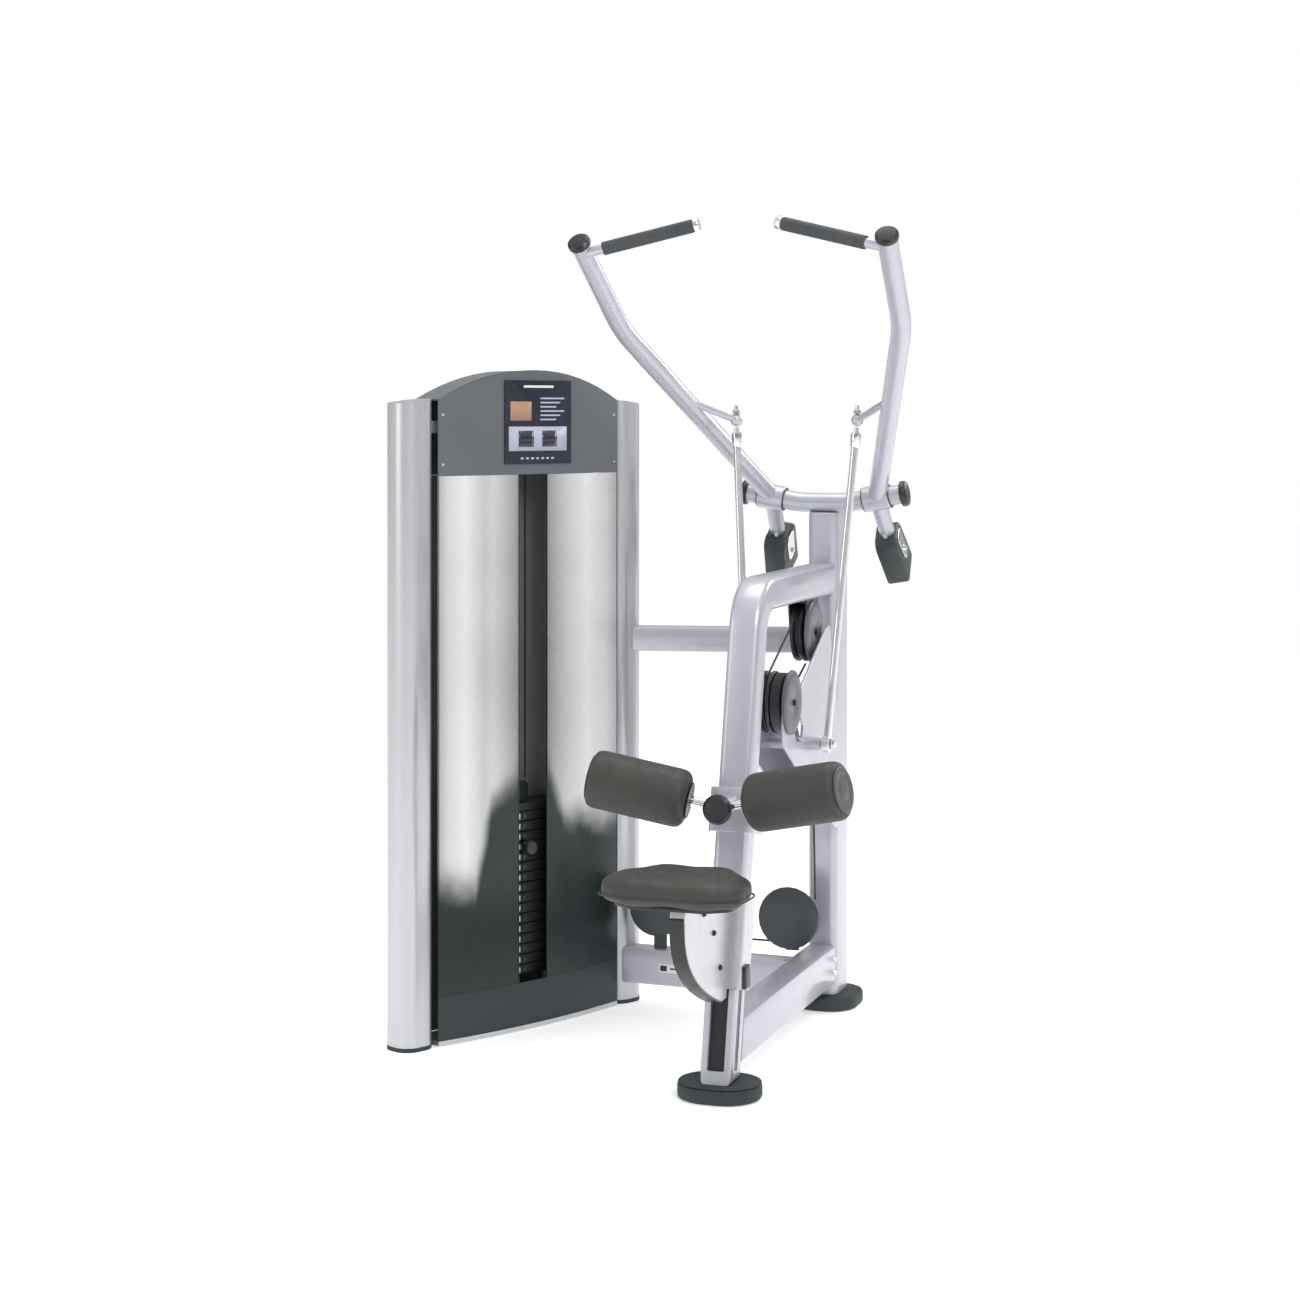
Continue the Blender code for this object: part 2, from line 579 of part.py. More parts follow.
def seat():
    """The seat: carriage on the leg, gusset, pad, pull pin and lock."""
    top = 0.476
    ride = 0.0205
    inner = LEG_T / 2 + 0.0005
    box_out = prism(oblong(0.092, 0.096, 0.018, (0.0, LEG_T / 2)), 0.215, 0.430, LEG, 0.002, 0)
    ob = place("seat_carriage", box_out, "silver")
    side = [(leg_y(0.47) - 0.002, top), (-1.225, top), (-1.232, 0.452)]
    for k in range(1, 9):
        t = k / 8
        side.append((-1.232 + 0.262 * t ** 1.6, 0.452 - 0.232 * t ** 0.62))
    side += [(leg_y(0.225) - 0.002, 0.222)]
    gusset = prism(side, -0.0170, 0.0170, YZ, 0.002, 0)
    table = box((0.130, 0.165, 0.010), (0.0, -1.170, top + 0.001), 0.002)
    socket = solid_bar((-0.040, leg_y(0.33) + 0.02, 0.330), (-0.062, leg_y(0.33) + 0.02, 0.330), 0.0145)
    lock = box((0.016, 0.034, 0.050), (0.046, leg_y(0.262) + 0.030, 0.262), 0.003)
    inside = prism(oblong(0.0774, 0.0794, 0.0145, (0.0, LEG_T / 2)), 0.1, 0.6, LEG)
    pin_hole = solid_bar((-0.034, leg_y(0.33) + 0.02, 0.330), (-0.080, leg_y(0.33) + 0.02, 0.330), 0.0066, 0)
    fuse(ob, adds=[gusset, table, socket, lock], cuts=[inside, pin_hole])
    y = leg_y(0.33) + 0.02
    pin = turned([(0, 0), (0, 0.0058), (0.048, 0.0058), (0.048, 0.012), (0.053, 0.0150), (0.070, 0.0150),
                  (0.076, 0.0110), (0.077, 0)], (-0.0415, y, 0.330), (-1, y, 0.330), 24)
    place("seat_pull_pin", pin, "chrome", origin=(-0.0415, y, 0.330))
    plan = [(-0.165, -1.285), (-0.10, -1.335), (0.10, -1.335), (0.165, -1.285), (0.165, -1.20),
            (0.085, -1.075), (-0.085, -1.075), (-0.165, -1.20)]
    pad = prism(rounded(plan, [0.04, 0.06, 0.06, 0.04, 0.05, 0.03, 0.03, 0.05], 4), 0.4825, 0.548,
                XY, 0.018, 2)
    place("seat_pad", pad, "pad")
    holes = [solid_bar((0.030, -0.0, 0.0), (0.06, 0.0, 0.0), 0.006, 0, 12) for _ in range(9)]
    strip = prism(oblong(0.024, 0.262, 0.004, (0.030, 0.170)), 0.0369, 0.0379, LEG_SIDE)
    ob = place("seat_index_strip", strip, "black", smooth=False)
    for k, hole in enumerate(holes):
        hole.transform(LEG @ Matrix.Translation((0.0, 0.030, 0.066 + 0.026 * k)))
    fuse(ob, cuts=holes)


def bowed(s0, s1, v, depth, bow, steps=8):
    """A plan outline whose front runs in the tower's shallow bow."""
    def front(s):
        return v - bow * (1 - (s / 0.301) ** 2)
    spots = [s0 + (s1 - s0) * k / steps for k in range(steps + 1)]
    points = [(s, front(s)) for s in spots]
    return points + [(s, front(s) + depth) for s in reversed(spots)]


def columns():
    for name, s in (("column_front", -COL_S), ("column_rear", COL_S)):
        outline = oblong(0.100, 0.096, 0.040, (s, 0.0), 8)
        ob = place(name, prism(outline, 0.0, COL_TOP + 0.02, TOWER, 0.0, 0), "silver")
        slope = [(-0.45, 1.5405), (-0.301, 1.5585), (-0.10, 1.7), (0.10, 1.7), (0.301, 1.5585),
                 (0.45, 1.5405), (0.45, 1.8), (-0.45, 1.8)]
        fuse(ob, cuts=[prism(slope, -0.1, 0.1, FACE)])


def tower_panels():
    arch = []
    for k in range(17):
        s = -0.2975 + 0.595 * k / 16
        arch.append((s, 1.558 + 0.072 * (1 - (s / 0.2975) ** 2)))
    plan = bowed(-0.2990, 0.2990, -0.046, 0.003, 0.022)
    ob = place("top_panel", prism(plan, 1.372, 1.75, TOWER), "slate")
    fuse(ob, cuts=[prism(arch + [(0.35, 1.558), (0.35, 1.8), (-0.35, 1.8), (-0.35, 1.558)], -0.1, 0.1, FACE)])
    back = [(s, z - 0.0008) for s, z in arch] + [(0.2975, 1.372), (-0.2975, 1.372)]
    roof = [(s, z - 0.0008) for s, z in arch] + [(s, z - 0.0048) for s, z in reversed(arch)]
    ob = place("top_cap", prism(roof, -0.0420, 0.0425, FACE), "slate")
    fuse(ob, adds=[prism(back, -0.043, -0.040, FACE)])
    plan = bowed(-0.105, 0.118, -0.0464, -0.0025, 0.022)
    place("placard", prism(plan, 1.398, 1.604, TOWER), "placard")
    plan = bowed(-0.2990, 0.2990, -0.046, 0.003, 0.022)
    place("kick_panel", prism(plan, 0.0135, 0.118, TOWER), "slate")
    outline = bowed(-0.2990, 0.2990, -0.047, 0.0, 0.024)[:9] + [(0.2990, 0.045), (-0.2990, 0.045)]
    ob = place("base_plate", prism(outline, 0.001, 0.0125, TOWER, 0.0, 0), "silver")
    bumps = [ring(tower(STACK_S + ds, 0, 0.0120), tower(STACK_S + ds, 0, STACK_Z - 0.0004), 0.0100, 0.024,
                  0.003, 20) for ds in (-0.115, 0.115)]
    fuse(ob, adds=bumps)
    for name, s0, s1 in (("shroud_left", -0.2990, SLOT[0]), ("shroud_right", SLOT[1], 0.2990)):
        plan = bowed(s0, s1, -0.046, 0.003, 0.022)
        place(name, prism(plan, 0.1185, 1.3715, TOWER), "shroud")
    place("shroud_rear", prism(oblong(0.598, 0.003, 0.0, (0.0, 0.046), 1)[::2] and
                               [(-0.299, 0.0445), (0.299, 0.0445), (0.299, 0.0475), (-0.299, 0.0475)],
                               0.0135, 1.3715, TOWER), "shroud", smooth=False)


def stack():
    """Weight plates on two guide rods, the pinned ones apart from those left down."""
    s0 = STACK_S
    for k, ds in enumerate((-0.115, 0.115)):
        rod = solid_bar(tower(s0 + ds, 0.0, 0.0128), tower(s0 + ds, 0.0, 1.4745), 0.0095, 0.001, 16)
        place("guide_rod_" + ("left", "right")[k], rod, "chrome")
    place("crown_bar", box((0.596, 0.040, 0.030), (0.0, 0.002, 1.490), 0.003, TOWER), "frame", smooth=False)
    rest = PLATE_N - PINNED
    low = STACK_Z
    split = STACK_Z + rest * PLATE_PITCH
    head = STACK_Z + PLATE_N * PLATE_PITCH

    def plate(name, z0, z1, kind="iron"):
        outline = oblong(0.330, 0.072, 0.006, (s0, 0.0), 2)
        ob = place(name, prism(outline, z0, z1, TOWER, 0.0015, 0), kind)
        cuts = []
        for ds, r in ((-0.115, 0.0102), (0.115, 0.0102), (0.0, 0.0112)):
            cuts.append(solid_bar(tower(s0 + ds, 0, z0 - 0.01), tower(s0 + ds, 0, z1 + 0.01), r, 0, 16))
        return ob, cuts

    ob, cuts = plate("lower_weights", low, split - 0.0008)
    for k in range(1, rest):
        z = low + k * PLATE_PITCH
        cuts.append(box((0.40, 0.006, 0.0012), (s0, -0.036, z), 0, TOWER))
    fuse(ob, cuts=cuts)
    ob, cuts = plate("pinned_weights", split, head - 0.0008)
    for k in range(1, PINNED):
        cuts.append(box((0.40, 0.006, 0.0012), (s0, -0.036, split + k * PLATE_PITCH), 0, TOWER))
    cuts.append(solid_bar(tower(s0, -0.06, split + 0.0123), tower(s0, 0.0, split + 0.0123), 0.0058, 0, 16))
    fuse(ob, cuts=cuts)
    head_top = head + 0.020
    ob = place("head_plate", prism(oblong(0.330, 0.072, 0.006, (s0, 0.0), 2), head, head_top, TOWER,
                                   0.0015, 0), "iron")
    cuts = [solid_bar(tower(s0 + ds, 0, head - 0.01), tower(s0 + ds, 0, head_top + 0.01), 0.0102, 0, 16)
            for ds in (-0.115, 0.115)]
    stem = solid_bar(tower(s0, 0, STACK_Z + 0.02), tower(s0, 0, head + 0.004), 0.0100, 0.001, 16)
    cheeks = [prism(oblong(0.040, 0.060, 0.016, (-0.002, head_top + 0.022)), v - 0.002, v + 0.002, FACE)
              for v in (-0.0150, 0.0150)]
    pin = solid_bar(tower(-0.002, -0.0195, head_top + 0.033), tower(-0.002, 0.0195, head_top + 0.033),
                    0.0060, 0.0005, 12)
    pin_z = split + 0.0123
    drill = solid_bar(tower(s0, -0.06, pin_z), tower(s0, 0.0, pin_z), 0.0058, 0, 16)
    fuse(ob, adds=[stem] + cheeks + [pin], cuts=cuts + [drill])
    n = tower(0, -1, 0) - tower(0, 0, 0)
    centre = tower(-0.002, 0, head_top + 0.033)
    sheave("stack_pulley", centre, n, 0.0300, 0.020, 0.0066)
    a = tower(s0, -0.002, pin_z)
    pin = turned([(0, 0), (0, 0.0052), (0.036, 0.0052), (0.038, 0.0052), (0.038, 0.0160), (0.044, 0.0190),
                  (0.058, 0.0190), (0.064, 0.0150), (0.065, 0)], a, a + n, 24)
    place("selector_pin", pin, "black", origin=a)
    z0 = head_top + 0.033
    for word, s in (("fixed", -0.002 - 0.0240), ("running", -0.002 + 0.0240)):
        line = [tower(s, 0, z0 + (1.4745 - z0) * k / 6) for k in range(7)]
        place("stack_cable_" + word, tube(line, 0.0026, 1), "iron")


arch_frame()
rear_post()
feet()
beams()
top_yoke()
arm(1)
arm(-1)
rods()
lever()
pulleys()
cables()
rollers()
seat()
columns()
tower_panels()
stack()
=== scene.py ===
import math

import bpy
import bmesh
from mathutils import Matrix, Vector


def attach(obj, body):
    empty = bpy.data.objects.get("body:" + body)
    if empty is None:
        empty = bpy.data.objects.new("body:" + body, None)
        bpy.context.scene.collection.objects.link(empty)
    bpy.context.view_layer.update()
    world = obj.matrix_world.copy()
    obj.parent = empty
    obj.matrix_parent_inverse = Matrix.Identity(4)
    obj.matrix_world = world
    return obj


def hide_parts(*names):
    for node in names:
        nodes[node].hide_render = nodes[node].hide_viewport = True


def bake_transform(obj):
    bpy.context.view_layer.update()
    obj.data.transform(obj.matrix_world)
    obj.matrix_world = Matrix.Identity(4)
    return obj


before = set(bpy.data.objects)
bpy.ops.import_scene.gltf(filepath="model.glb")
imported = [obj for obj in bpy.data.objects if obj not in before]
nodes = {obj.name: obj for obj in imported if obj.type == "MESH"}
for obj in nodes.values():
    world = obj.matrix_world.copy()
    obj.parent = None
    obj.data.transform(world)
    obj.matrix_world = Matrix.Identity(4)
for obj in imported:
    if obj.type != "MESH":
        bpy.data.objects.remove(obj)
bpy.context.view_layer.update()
scene = bpy.context.scene

# Shared sizes, in metres
TOWER_MID = (-0.680, -0.449)
TOWER_DIR = math.radians(64.0)
COLUMN_S = 0.351
PANEL_HALF = 0.301
PANEL_V = -0.046
STACK_S = -0.0115
STACK_Z = 0.128
PITCH = 0.0254
PINNED = 4
PLATES = 16
BOW = 0.022
TILT = math.radians(9.5)
LEG_Y = -0.973
LEG_SLOPE = 0.2204
LEG_LEAN = math.atan(LEG_SLOPE)
PIVOT = Vector((0.139, -0.038, 1.307))
DOWN = Vector((0.011, 0.116, -0.134)).normalized()
LOW_PULLEY = Vector((0.0, -0.530, 0.836))
TOP_PULLEY = Vector((0.0, -0.240, 0.980))
ROD_TOP = Vector((0.155, -0.304, 1.506))
ROD_LOW = Vector((0.100, -0.386, 0.722))
ROLLER_IN = Vector((0.072, -0.935, 0.657))
ROLLER_OUT = Vector((0.295, -0.967, 0.703))
HANDLE_ROOT = Vector((0.350, -0.8455, 1.8925))
HANDLE_END = Vector((0.095, -0.793, 1.956))
YOKE_HALF = 0.2065
YOKE_Z = 1.2938
HUB_HALF = 0.0342
SEAT_RADII = [0.045, 0.07, 0.07, 0.045, 0.05, 0.03, 0.03, 0.05]

TOWER = Matrix.Translation((*TOWER_MID, 0.0)) @ Matrix.Rotation(TOWER_DIR, 4, "Z")
YZ = Matrix(((0, 0, 1, 0), (1, 0, 0, 0), (0, 1, 0, 0), (0, 0, 0, 1)))
LEG = Matrix.Translation((0.0, LEG_Y, 0.03)) @ Matrix.Rotation(-LEG_LEAN, 4, "X")
LEG_FRONT = LEG @ Matrix(((1, 0, 0, 0), (0, 0, -1, 0), (0, 1, 0, 0), (0, 0, 0, 1)))
TOWER_OUT = TOWER.to_3x3() @ Vector((0, -1, 0))


# ---------------------------------------------------------------- materials
def shader_of(name, colour, rough, metal=0.0, coat=0.0):
    """A new material with its base values set."""
    mat = bpy.data.materials.new(name)
    mat.use_nodes = True
    tree = mat.node_tree
    shader = tree.nodes["Principled BSDF"]
    shader.inputs["Base Color"].default_value = (*colour, 1.0)
    shader.inputs["Roughness"].default_value = rough
    shader.inputs["Metallic"].default_value = metal
    shader.inputs["Coat Weight"].default_value = coat
    return mat, tree, shader


def link(tree, a, out, b, into):
    tree.links.new(a.outputs[out], b.inputs[into])


def set_stops(ramp, rows, blue=1.0):
    """Gives a colour ramp its grey stops, from rows of position and tone."""
    for k, (spot, tone) in enumerate(rows):
        stop = ramp.elements[k] if k < 2 else ramp.elements.new(spot)
        stop.position = spot
        stop.color = (tone, tone, tone * blue, 1)


def coords(tree, scale=(1, 1, 1), turn=(0, 0, 0)):
    where = tree.nodes.new("ShaderNodeTexCoord")
    mapping = tree.nodes.new("ShaderNodeMapping")
    mapping.inputs["Scale"].default_value = scale
    mapping.inputs["Rotation"].default_value = turn
    link(tree, where, "Object", mapping, "Vector")
    return mapping


def noise(tree, at, scale, detail=3.0):
    tex = tree.nodes.new("ShaderNodeTexNoise")
    tex.inputs["Scale"].default_value = scale
    tex.inputs["Detail"].default_value = detail
    link(tree, at, "Vector", tex, "Vector")
    return tex


def spread(tree, tex, low, high, out="Fac"):
    """Maps a texture's middle range to low..high."""
    rng = tree.nodes.new("ShaderNodeMapRange")
    rng.inputs["From Min"].default_value = 0.3
    rng.inputs["From Max"].default_value = 0.7
    rng.inputs["To Min"].default_value = low
    rng.inputs["To Max"].default_value = high
    link(tree, tex, out, rng, "Value")
    return rng


def tinted(tree, tex, colour, by, shader, out="Fac"):
    """Lets a texture lighten and darken the base colour by a share of it."""
    ramp = tree.nodes.new("ShaderNodeValToRGB")
    ramp.color_ramp.elements[0].position = 0.3
    ramp.color_ramp.elements[1].position = 0.7
    ramp.color_ramp.elements[0].color = (*[c * (1 - by) for c in colour], 1)
    ramp.color_ramp.elements[1].color = (*[min(1, c * (1 + by)) for c in colour], 1)
    link(tree, tex, out, ramp, "Fac")
    link(tree, ramp, "Color", shader, "Base Color")


def bumped(tree, tex, depth, shader, out="Fac"):
    bump = tree.nodes.new("ShaderNodeBump")
    bump.inputs["Strength"].default_value = 1.0
    bump.inputs["Distance"].default_value = depth
    link(tree, tex, out, bump, "Height")
    link(tree, bump, "Normal", shader, "Normal")


def plain(name, colour, rough, metal=0.0, coat=0.0, grain=700.0, depth=0.00003, vary=0.05, swing=0.07,
          scale=(1, 1, 1)):
    """A surface with a faint cloudy tint, a changing roughness and a fine grain."""
    mat, tree, shader = shader_of(name, colour, rough, metal, coat)
    at = coords(tree, scale)
    broad = noise(tree, at, 7.0)
    tinted(tree, broad, colour, vary, shader)
    mid = noise(tree, at, 45.0, 5.0)
    link(tree, spread(tree, mid, rough - swing, rough + swing), "Result", shader, "Roughness")
    bumped(tree, noise(tree, at, grain, 2.0), depth, shader)
    return mat


def leather(name, colour):
    """Cell grain over a cloudy tint."""
    mat, tree, shader = shader_of(name, colour, 0.55)
    at = coords(tree)
    broad = noise(tree, at, 9.0, 4.0)
    tinted(tree, broad, colour, 0.12, shader)
    cells = tree.nodes.new("ShaderNodeTexVoronoi")
    cells.inputs["Scale"].default_value = 420.0
    link(tree, at, "Vector", cells, "Vector")
    link(tree, spread(tree, noise(tree, at, 60.0), 0.46, 0.64), "Result", shader, "Roughness")
    bumped(tree, cells, 0.00025, shader, "Distance")
    return mat


def cable_finish(name):
    """A dark jacket with the wire's lay showing through."""
    mat, tree, shader = shader_of(name, (0.045, 0.047, 0.05), 0.38, 0.6)
    at = coords(tree, (1, 1, 1), (0.6, 0.0, 0.0))
    lay = tree.nodes.new("ShaderNodeTexWave")
    lay.inputs["Scale"].default_value = 260.0
    link(tree, at, "Vector", lay, "Vector")
    bumped(tree, lay, 0.0003, shader)
    link(tree, spread(tree, noise(tree, at, 80.0), 0.3, 0.5), "Result", shader, "Roughness")
    return mat


def shroud_painted_light(name):
    """Smoked sheet with painted light: a silvery painted reflection above, a painted dark reflection below,
    and soft upright bands of painted shade and reflection where the rods behind show through.
    """
    mat, tree, shader = shader_of(name, (0.5, 0.5, 0.5), 0.28, 0.15, 0.0)
    where = tree.nodes.new("ShaderNodeTexCoord")
    face = tree.nodes.new("ShaderNodeMapping")
    face.vector_type = "TEXTURE"
    face.inputs["Location"].default_value = (*TOWER_MID, 0.0)
    face.inputs["Rotation"].default_value = (0.0, 0.0, TOWER_DIR)
    link(tree, where, "Object", face, "Vector")
    split = tree.nodes.new("ShaderNodeSeparateXYZ")
    link(tree, face, "Vector", split, "Vector")
    # painted light: tones across the sheet's width paint its shade, its reflections and the rods seen
    # through it
    painted_light_bands = tree.nodes.new("ShaderNodeValToRGB")
    place = tree.nodes.new("ShaderNodeMapRange")
    place.inputs["From Min"].default_value = -0.30
    place.inputs["From Max"].default_value = 0.30
    link(tree, split, "X", place, "Value")
    link(tree, place, "Result", painted_light_bands, "Fac")
    painted_band_tones = [(0.0, 0.42), (0.05, 0.66), (0.13, 0.80), (0.22, 0.56), (0.27, 0.62), (0.36, 0.42),
             (0.40, 0.30), (0.57, 0.32), (0.62, 0.46), (0.68, 0.60), (0.80, 0.82), (0.92, 0.66),
             (1.0, 0.40)]
    set_stops(painted_light_bands.color_ramp, painted_band_tones, 1.01)
    # painted shade: the height, across the width, of the line under which the sheet is painted dark as a
    # reflection
    edge = tree.nodes.new("ShaderNodeValToRGB")
    link(tree, place, "Result", edge, "Fac")
    shade_line_heights = [(0.0, 0.40), (0.18, 0.40), (0.26, 0.58), (0.40, 0.66), (0.57, 0.66), (0.66, 0.52),
               (0.78, 0.52), (1.0, 0.50)]
    set_stops(edge.color_ramp, shade_line_heights)
    over = tree.nodes.new("ShaderNodeMath")
    over.operation = "SUBTRACT"
    link(tree, split, "Z", over, 0)
    link(tree, edge, "Color", over, 1)
    cloud = noise(tree, face, 9.0, 2.0)
    ragged_shade_line = tree.nodes.new("ShaderNodeMath")
    ragged_shade_line.operation = "MULTIPLY_ADD"
    ragged_shade_line.inputs[1].default_value = 0.10
    link(tree, cloud, "Fac", ragged_shade_line, 0)
    link(tree, over, "Value", ragged_shade_line, 2)
    soft = tree.nodes.new("ShaderNodeMapRange")
    soft.interpolation_type = "SMOOTHSTEP"
    soft.inputs["From Min"].default_value = -0.02
    soft.inputs["From Max"].default_value = 0.10
    link(tree, ragged_shade_line, "Value", soft, "Value")
    # below the line the near-black colour is a painted dark reflection, mixed over the painted bands above
    mix = tree.nodes.new("ShaderNodeMix")
    mix.data_type = "RGBA"
    mix.inputs[6].default_value = (0.010, 0.020, 0.019, 1)
    tree.links.new(soft.outputs["Result"], mix.inputs["Factor"])
    tree.links.new(painted_light_bands.outputs["Color"], mix.inputs[7])
    tree.links.new(mix.outputs[2], shader.inputs["Base Color"])
    link(tree, spread(tree, noise(tree, face, 12.0), 0.24, 0.32), "Result", shader, "Roughness")
    return mat


M = {
    "frame": plain("frame_paint", (0.50, 0.505, 0.565), 0.34, 0.45, 0.35, 1100.0, 0.0000025, 0.03, 0.05),
    "column": plain("column_satin", (0.56, 0.57, 0.59), 0.32, 0.75, 0.1, 500.0, 0.000004, 0.03, 0.05,
                    (6, 6, 0.3)),
    "chrome": plain("chrome", (0.80, 0.81, 0.83), 0.10, 1.0, 0.0, 500.0, 0.000004, 0.03, 0.05),
    "rod": plain("rod_plate", (0.82, 0.83, 0.84), 0.16, 0.75, 0.1, 500.0, 0.000004, 0.03, 0.05),
    "slate": plain("slate_panel", (0.128, 0.140, 0.150), 0.42, 0.15, 0.0, 1100.0, 0.00002),
    "kick": plain("kick_panel", (0.022, 0.031, 0.034), 0.40, 0.1, 0.0, 1100.0, 0.00002),
    "black": plain("black_plastic", (0.012, 0.013, 0.015), 0.38, 0.0, 0.1),
    "foot": plain("foot_rubber", (0.022, 0.032, 0.034), 0.62, 0.0, 0.0, 500.0, 0.00008, 0.15),
    "grip": plain("grip_rubber", (0.050, 0.056, 0.062), 0.66, 0.0, 0.0, 420.0, 0.00025, 0.15),
    "weight": plain("weight_rubber", (0.026, 0.034, 0.036), 0.50, 0.0, 0.1, 500.0, 0.00006, 0.15),
    "iron": plain("plate_iron", (0.018, 0.020, 0.022), 0.45, 0.4, 0.0, 350.0, 0.0001, 0.2),
    "cover": plain("cover_plastic", (0.105, 0.112, 0.128), 0.36, 0.1, 0.1),
    "disc": plain("disc_plastic", (0.032, 0.040, 0.044), 0.40, 0.0, 0.1),
    "pad": leather("pad_leather", (0.041, 0.037, 0.033)),
    "roller_end": plain("roller_end", (0.085, 0.080, 0.078), 0.5, 0.0, 0.1, 600.0, 0.00005),
    "cable": cable_finish("cable_jacket"),
    # painted light: this sheet carries painted reflections, painted shade and the rods seen through it
    "shroud": shroud_painted_light("smoked_shroud_painted_light"),
    "back": plain("rear_sheet", (0.30, 0.31, 0.32), 0.35, 0.4, 0.0),
    "placard": plain("placard_face", (0.010, 0.012, 0.028), 0.22, 0.0, 0.4, 900.0, 0.000005),
    "print": plain("pale_print", (0.46, 0.47, 0.58), 0.35, 0.0, 0.0, 900.0, 0.000005),
    "white": plain("label_white", (0.80, 0.80, 0.80), 0.45, 0.0, 0.0, 900.0, 0.00001),
    "warm": plain("warm_print", (0.42, 0.24, 0.15), 0.4, 0.0, 0.0, 900.0, 0.000005),
}

FINISH = {
    "arch_frame": "frame", "rear_upright": "frame", "base_beam": "frame", "lower_crossbeam": "frame",
    "upper_crossbeam": "frame", "arm_left": "frame", "arm_right": "frame", "lever": "frame",
    "crown_bar": "frame", "seat_carriage": "column", "column_front": "column", "column_rear": "column",
    "base_plate": "column", "rod_left": "rod", "rod_right": "rod", "guide_rod_left": "chrome",
    "guide_rod_right": "chrome", "roller_axle": "chrome", "seat_pull_pin": "chrome",
    "top_panel": "slate", "top_cap": "slate", "kick_panel": "kick", "arm_cap_left": "black",
    "arm_cap_right": "black", "roller_knob": "black", "selector_pin": "black", "arch_pulley": "black",
    "arch_pulley_bracket": "black", "base_pulley": "black", "tower_pulley": "black",
    "lever_pulley": "black", "stack_pulley": "cover", "seat_index_strip": "black",
    "base_pulley_cover": "disc", "tower_pulley_cover": "disc", "front_foot": "foot",
    "rear_foot": "foot", "grip_left": "grip", "grip_right": "grip", "counterweight_left": "weight",
    "counterweight_right": "weight", "head_plate": "iron", "lever_pulley_wrap": "cable",
    "upright_cable": "cable", "base_cable": "cable", "shroud_left": "shroud", "shroud_right": "shroud",
    "shroud_rear": "back", "placard": "placard",
}


def dress_nodes():
    """Gives each CAD piece that is shown its finish and smooth rounded faces."""
    for name, kind in FINISH.items():
        ob = nodes[name]
        ob.data.materials.clear()
        ob.data.materials.append(M[kind])
        ob.data.shade_smooth()
        weld = ob.modifiers.new("weld", "WELD")
        weld.merge_threshold = 0.00005
        split = ob.modifiers.new("edges", "EDGE_SPLIT")
        split.split_angle = math.radians(34)


# ---------------------------------------------------------------- shapes
def shown(name, mesh, kind, body="frame", replaces=(), smooth=True):
    """Puts a mesh in the scene as a named piece that rides on a body."""
    ob = bpy.data.objects.new(name, mesh)
    scene.collection.objects.link(ob)
    mesh.materials.clear()
    mesh.materials.append(M[kind])
    if smooth:
        mesh.shade_smooth()
        mesh.set_sharp_from_angle(angle=math.radians(38))
    if body:
        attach(ob, body)
    if replaces:
        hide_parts(*replaces)
    return ob


def clean(bm, name):
    """Ends a draft mesh: doubles merged and faces turned outwards."""
    bmesh.ops.remove_doubles(bm, verts=bm.verts, dist=0.00001)
    bmesh.ops.recalc_face_normals(bm, faces=bm.faces)
    mesh = bpy.data.meshes.new(name)
    bm.to_mesh(mesh)
    bm.free()
    return mesh


def from_curve(curve, matrix=Matrix()):
    """The closed mesh of a curve, moved by the matrix."""
    ob = bpy.data.objects.new("draft", curve)
    scene.collection.objects.link(ob)
    bpy.context.view_layer.update()
    mesh = bpy.data.meshes.new_from_object(ob.evaluated_get(bpy.context.evaluated_depsgraph_get()))
    bpy.data.objects.remove(ob, do_unlink=True)
    bm = bmesh.new()
    bm.from_mesh(mesh)
    mesh = clean(bm, "swept")
    mesh.transform(matrix)
    return mesh


def prism(points, low, high, matrix, edge=0.0, steps=2):
    """A flat outline raised from low to high, its edges rounded."""
    curve = bpy.data.curves.new("outline", "CURVE")
    curve.dimensions = "2D"
    curve.fill_mode = "BOTH"
    line = curve.splines.new("POLY")
    line.points.add(len(points) - 1)
    for spot, (a, b) in zip(line.points, points):
        spot.co = (a, b, 0.0, 1.0)
    line.use_cyclic_u = True
    curve.extrude = (high - low) / 2 - edge
    curve.bevel_depth = edge
    curve.bevel_resolution = steps
    curve.offset = -edge
    return from_curve(curve, matrix @ Matrix.Translation((0, 0, (high + low) / 2)))


def tube(points, radius, sides=6):
    """A round bar along a list of points."""
    curve = bpy.data.curves.new("sweep", "CURVE")
    curve.dimensions = "3D"
    line = curve.splines.new("POLY")
    line.points.add(len(points) - 1)
    for spot, p in zip(line.points, points):
        spot.co = (*p, 1.0)
    curve.bevel_depth = radius
    curve.bevel_resolution = sides
    curve.use_fill_caps = True
    return from_curve(curve)


def turned(profile, a, b, segments=48):
    """A profile of (distance along, radius) pairs spun about the line from a to b."""
    a, b = Vector(a), Vector(b)
    bm = bmesh.new()
    spots = [bm.verts.new((r, 0.0, along)) for along, r in profile]
    edges = [bm.edges.new(pair) for pair in zip(spots, spots[1:])]
    if profile[0][1] > 1e-6:
        edges.append(bm.edges.new((spots[-1], spots[0])))
    bmesh.ops.spin(bm, geom=spots + edges, axis=(0, 0, 1), cent=(0, 0, 0), angle=2 * math.pi,
                   steps=segments, use_merge=True)
    mesh = clean(bm, "turned")
    turn = (b - a).to_track_quat("Z", "Y").to_matrix().to_4x4()
    mesh.transform(Matrix.Translation(a) @ turn)
    return mesh


def bar(a, b, radius, edge=0.001, segments=32):
    size = (Vector(b) - Vector(a)).length
    return turned([(0, 0), (0, radius - edge), (edge, radius), (size - edge, radius),
                   (size, radius - edge), (size, 0)], a, b, segments)


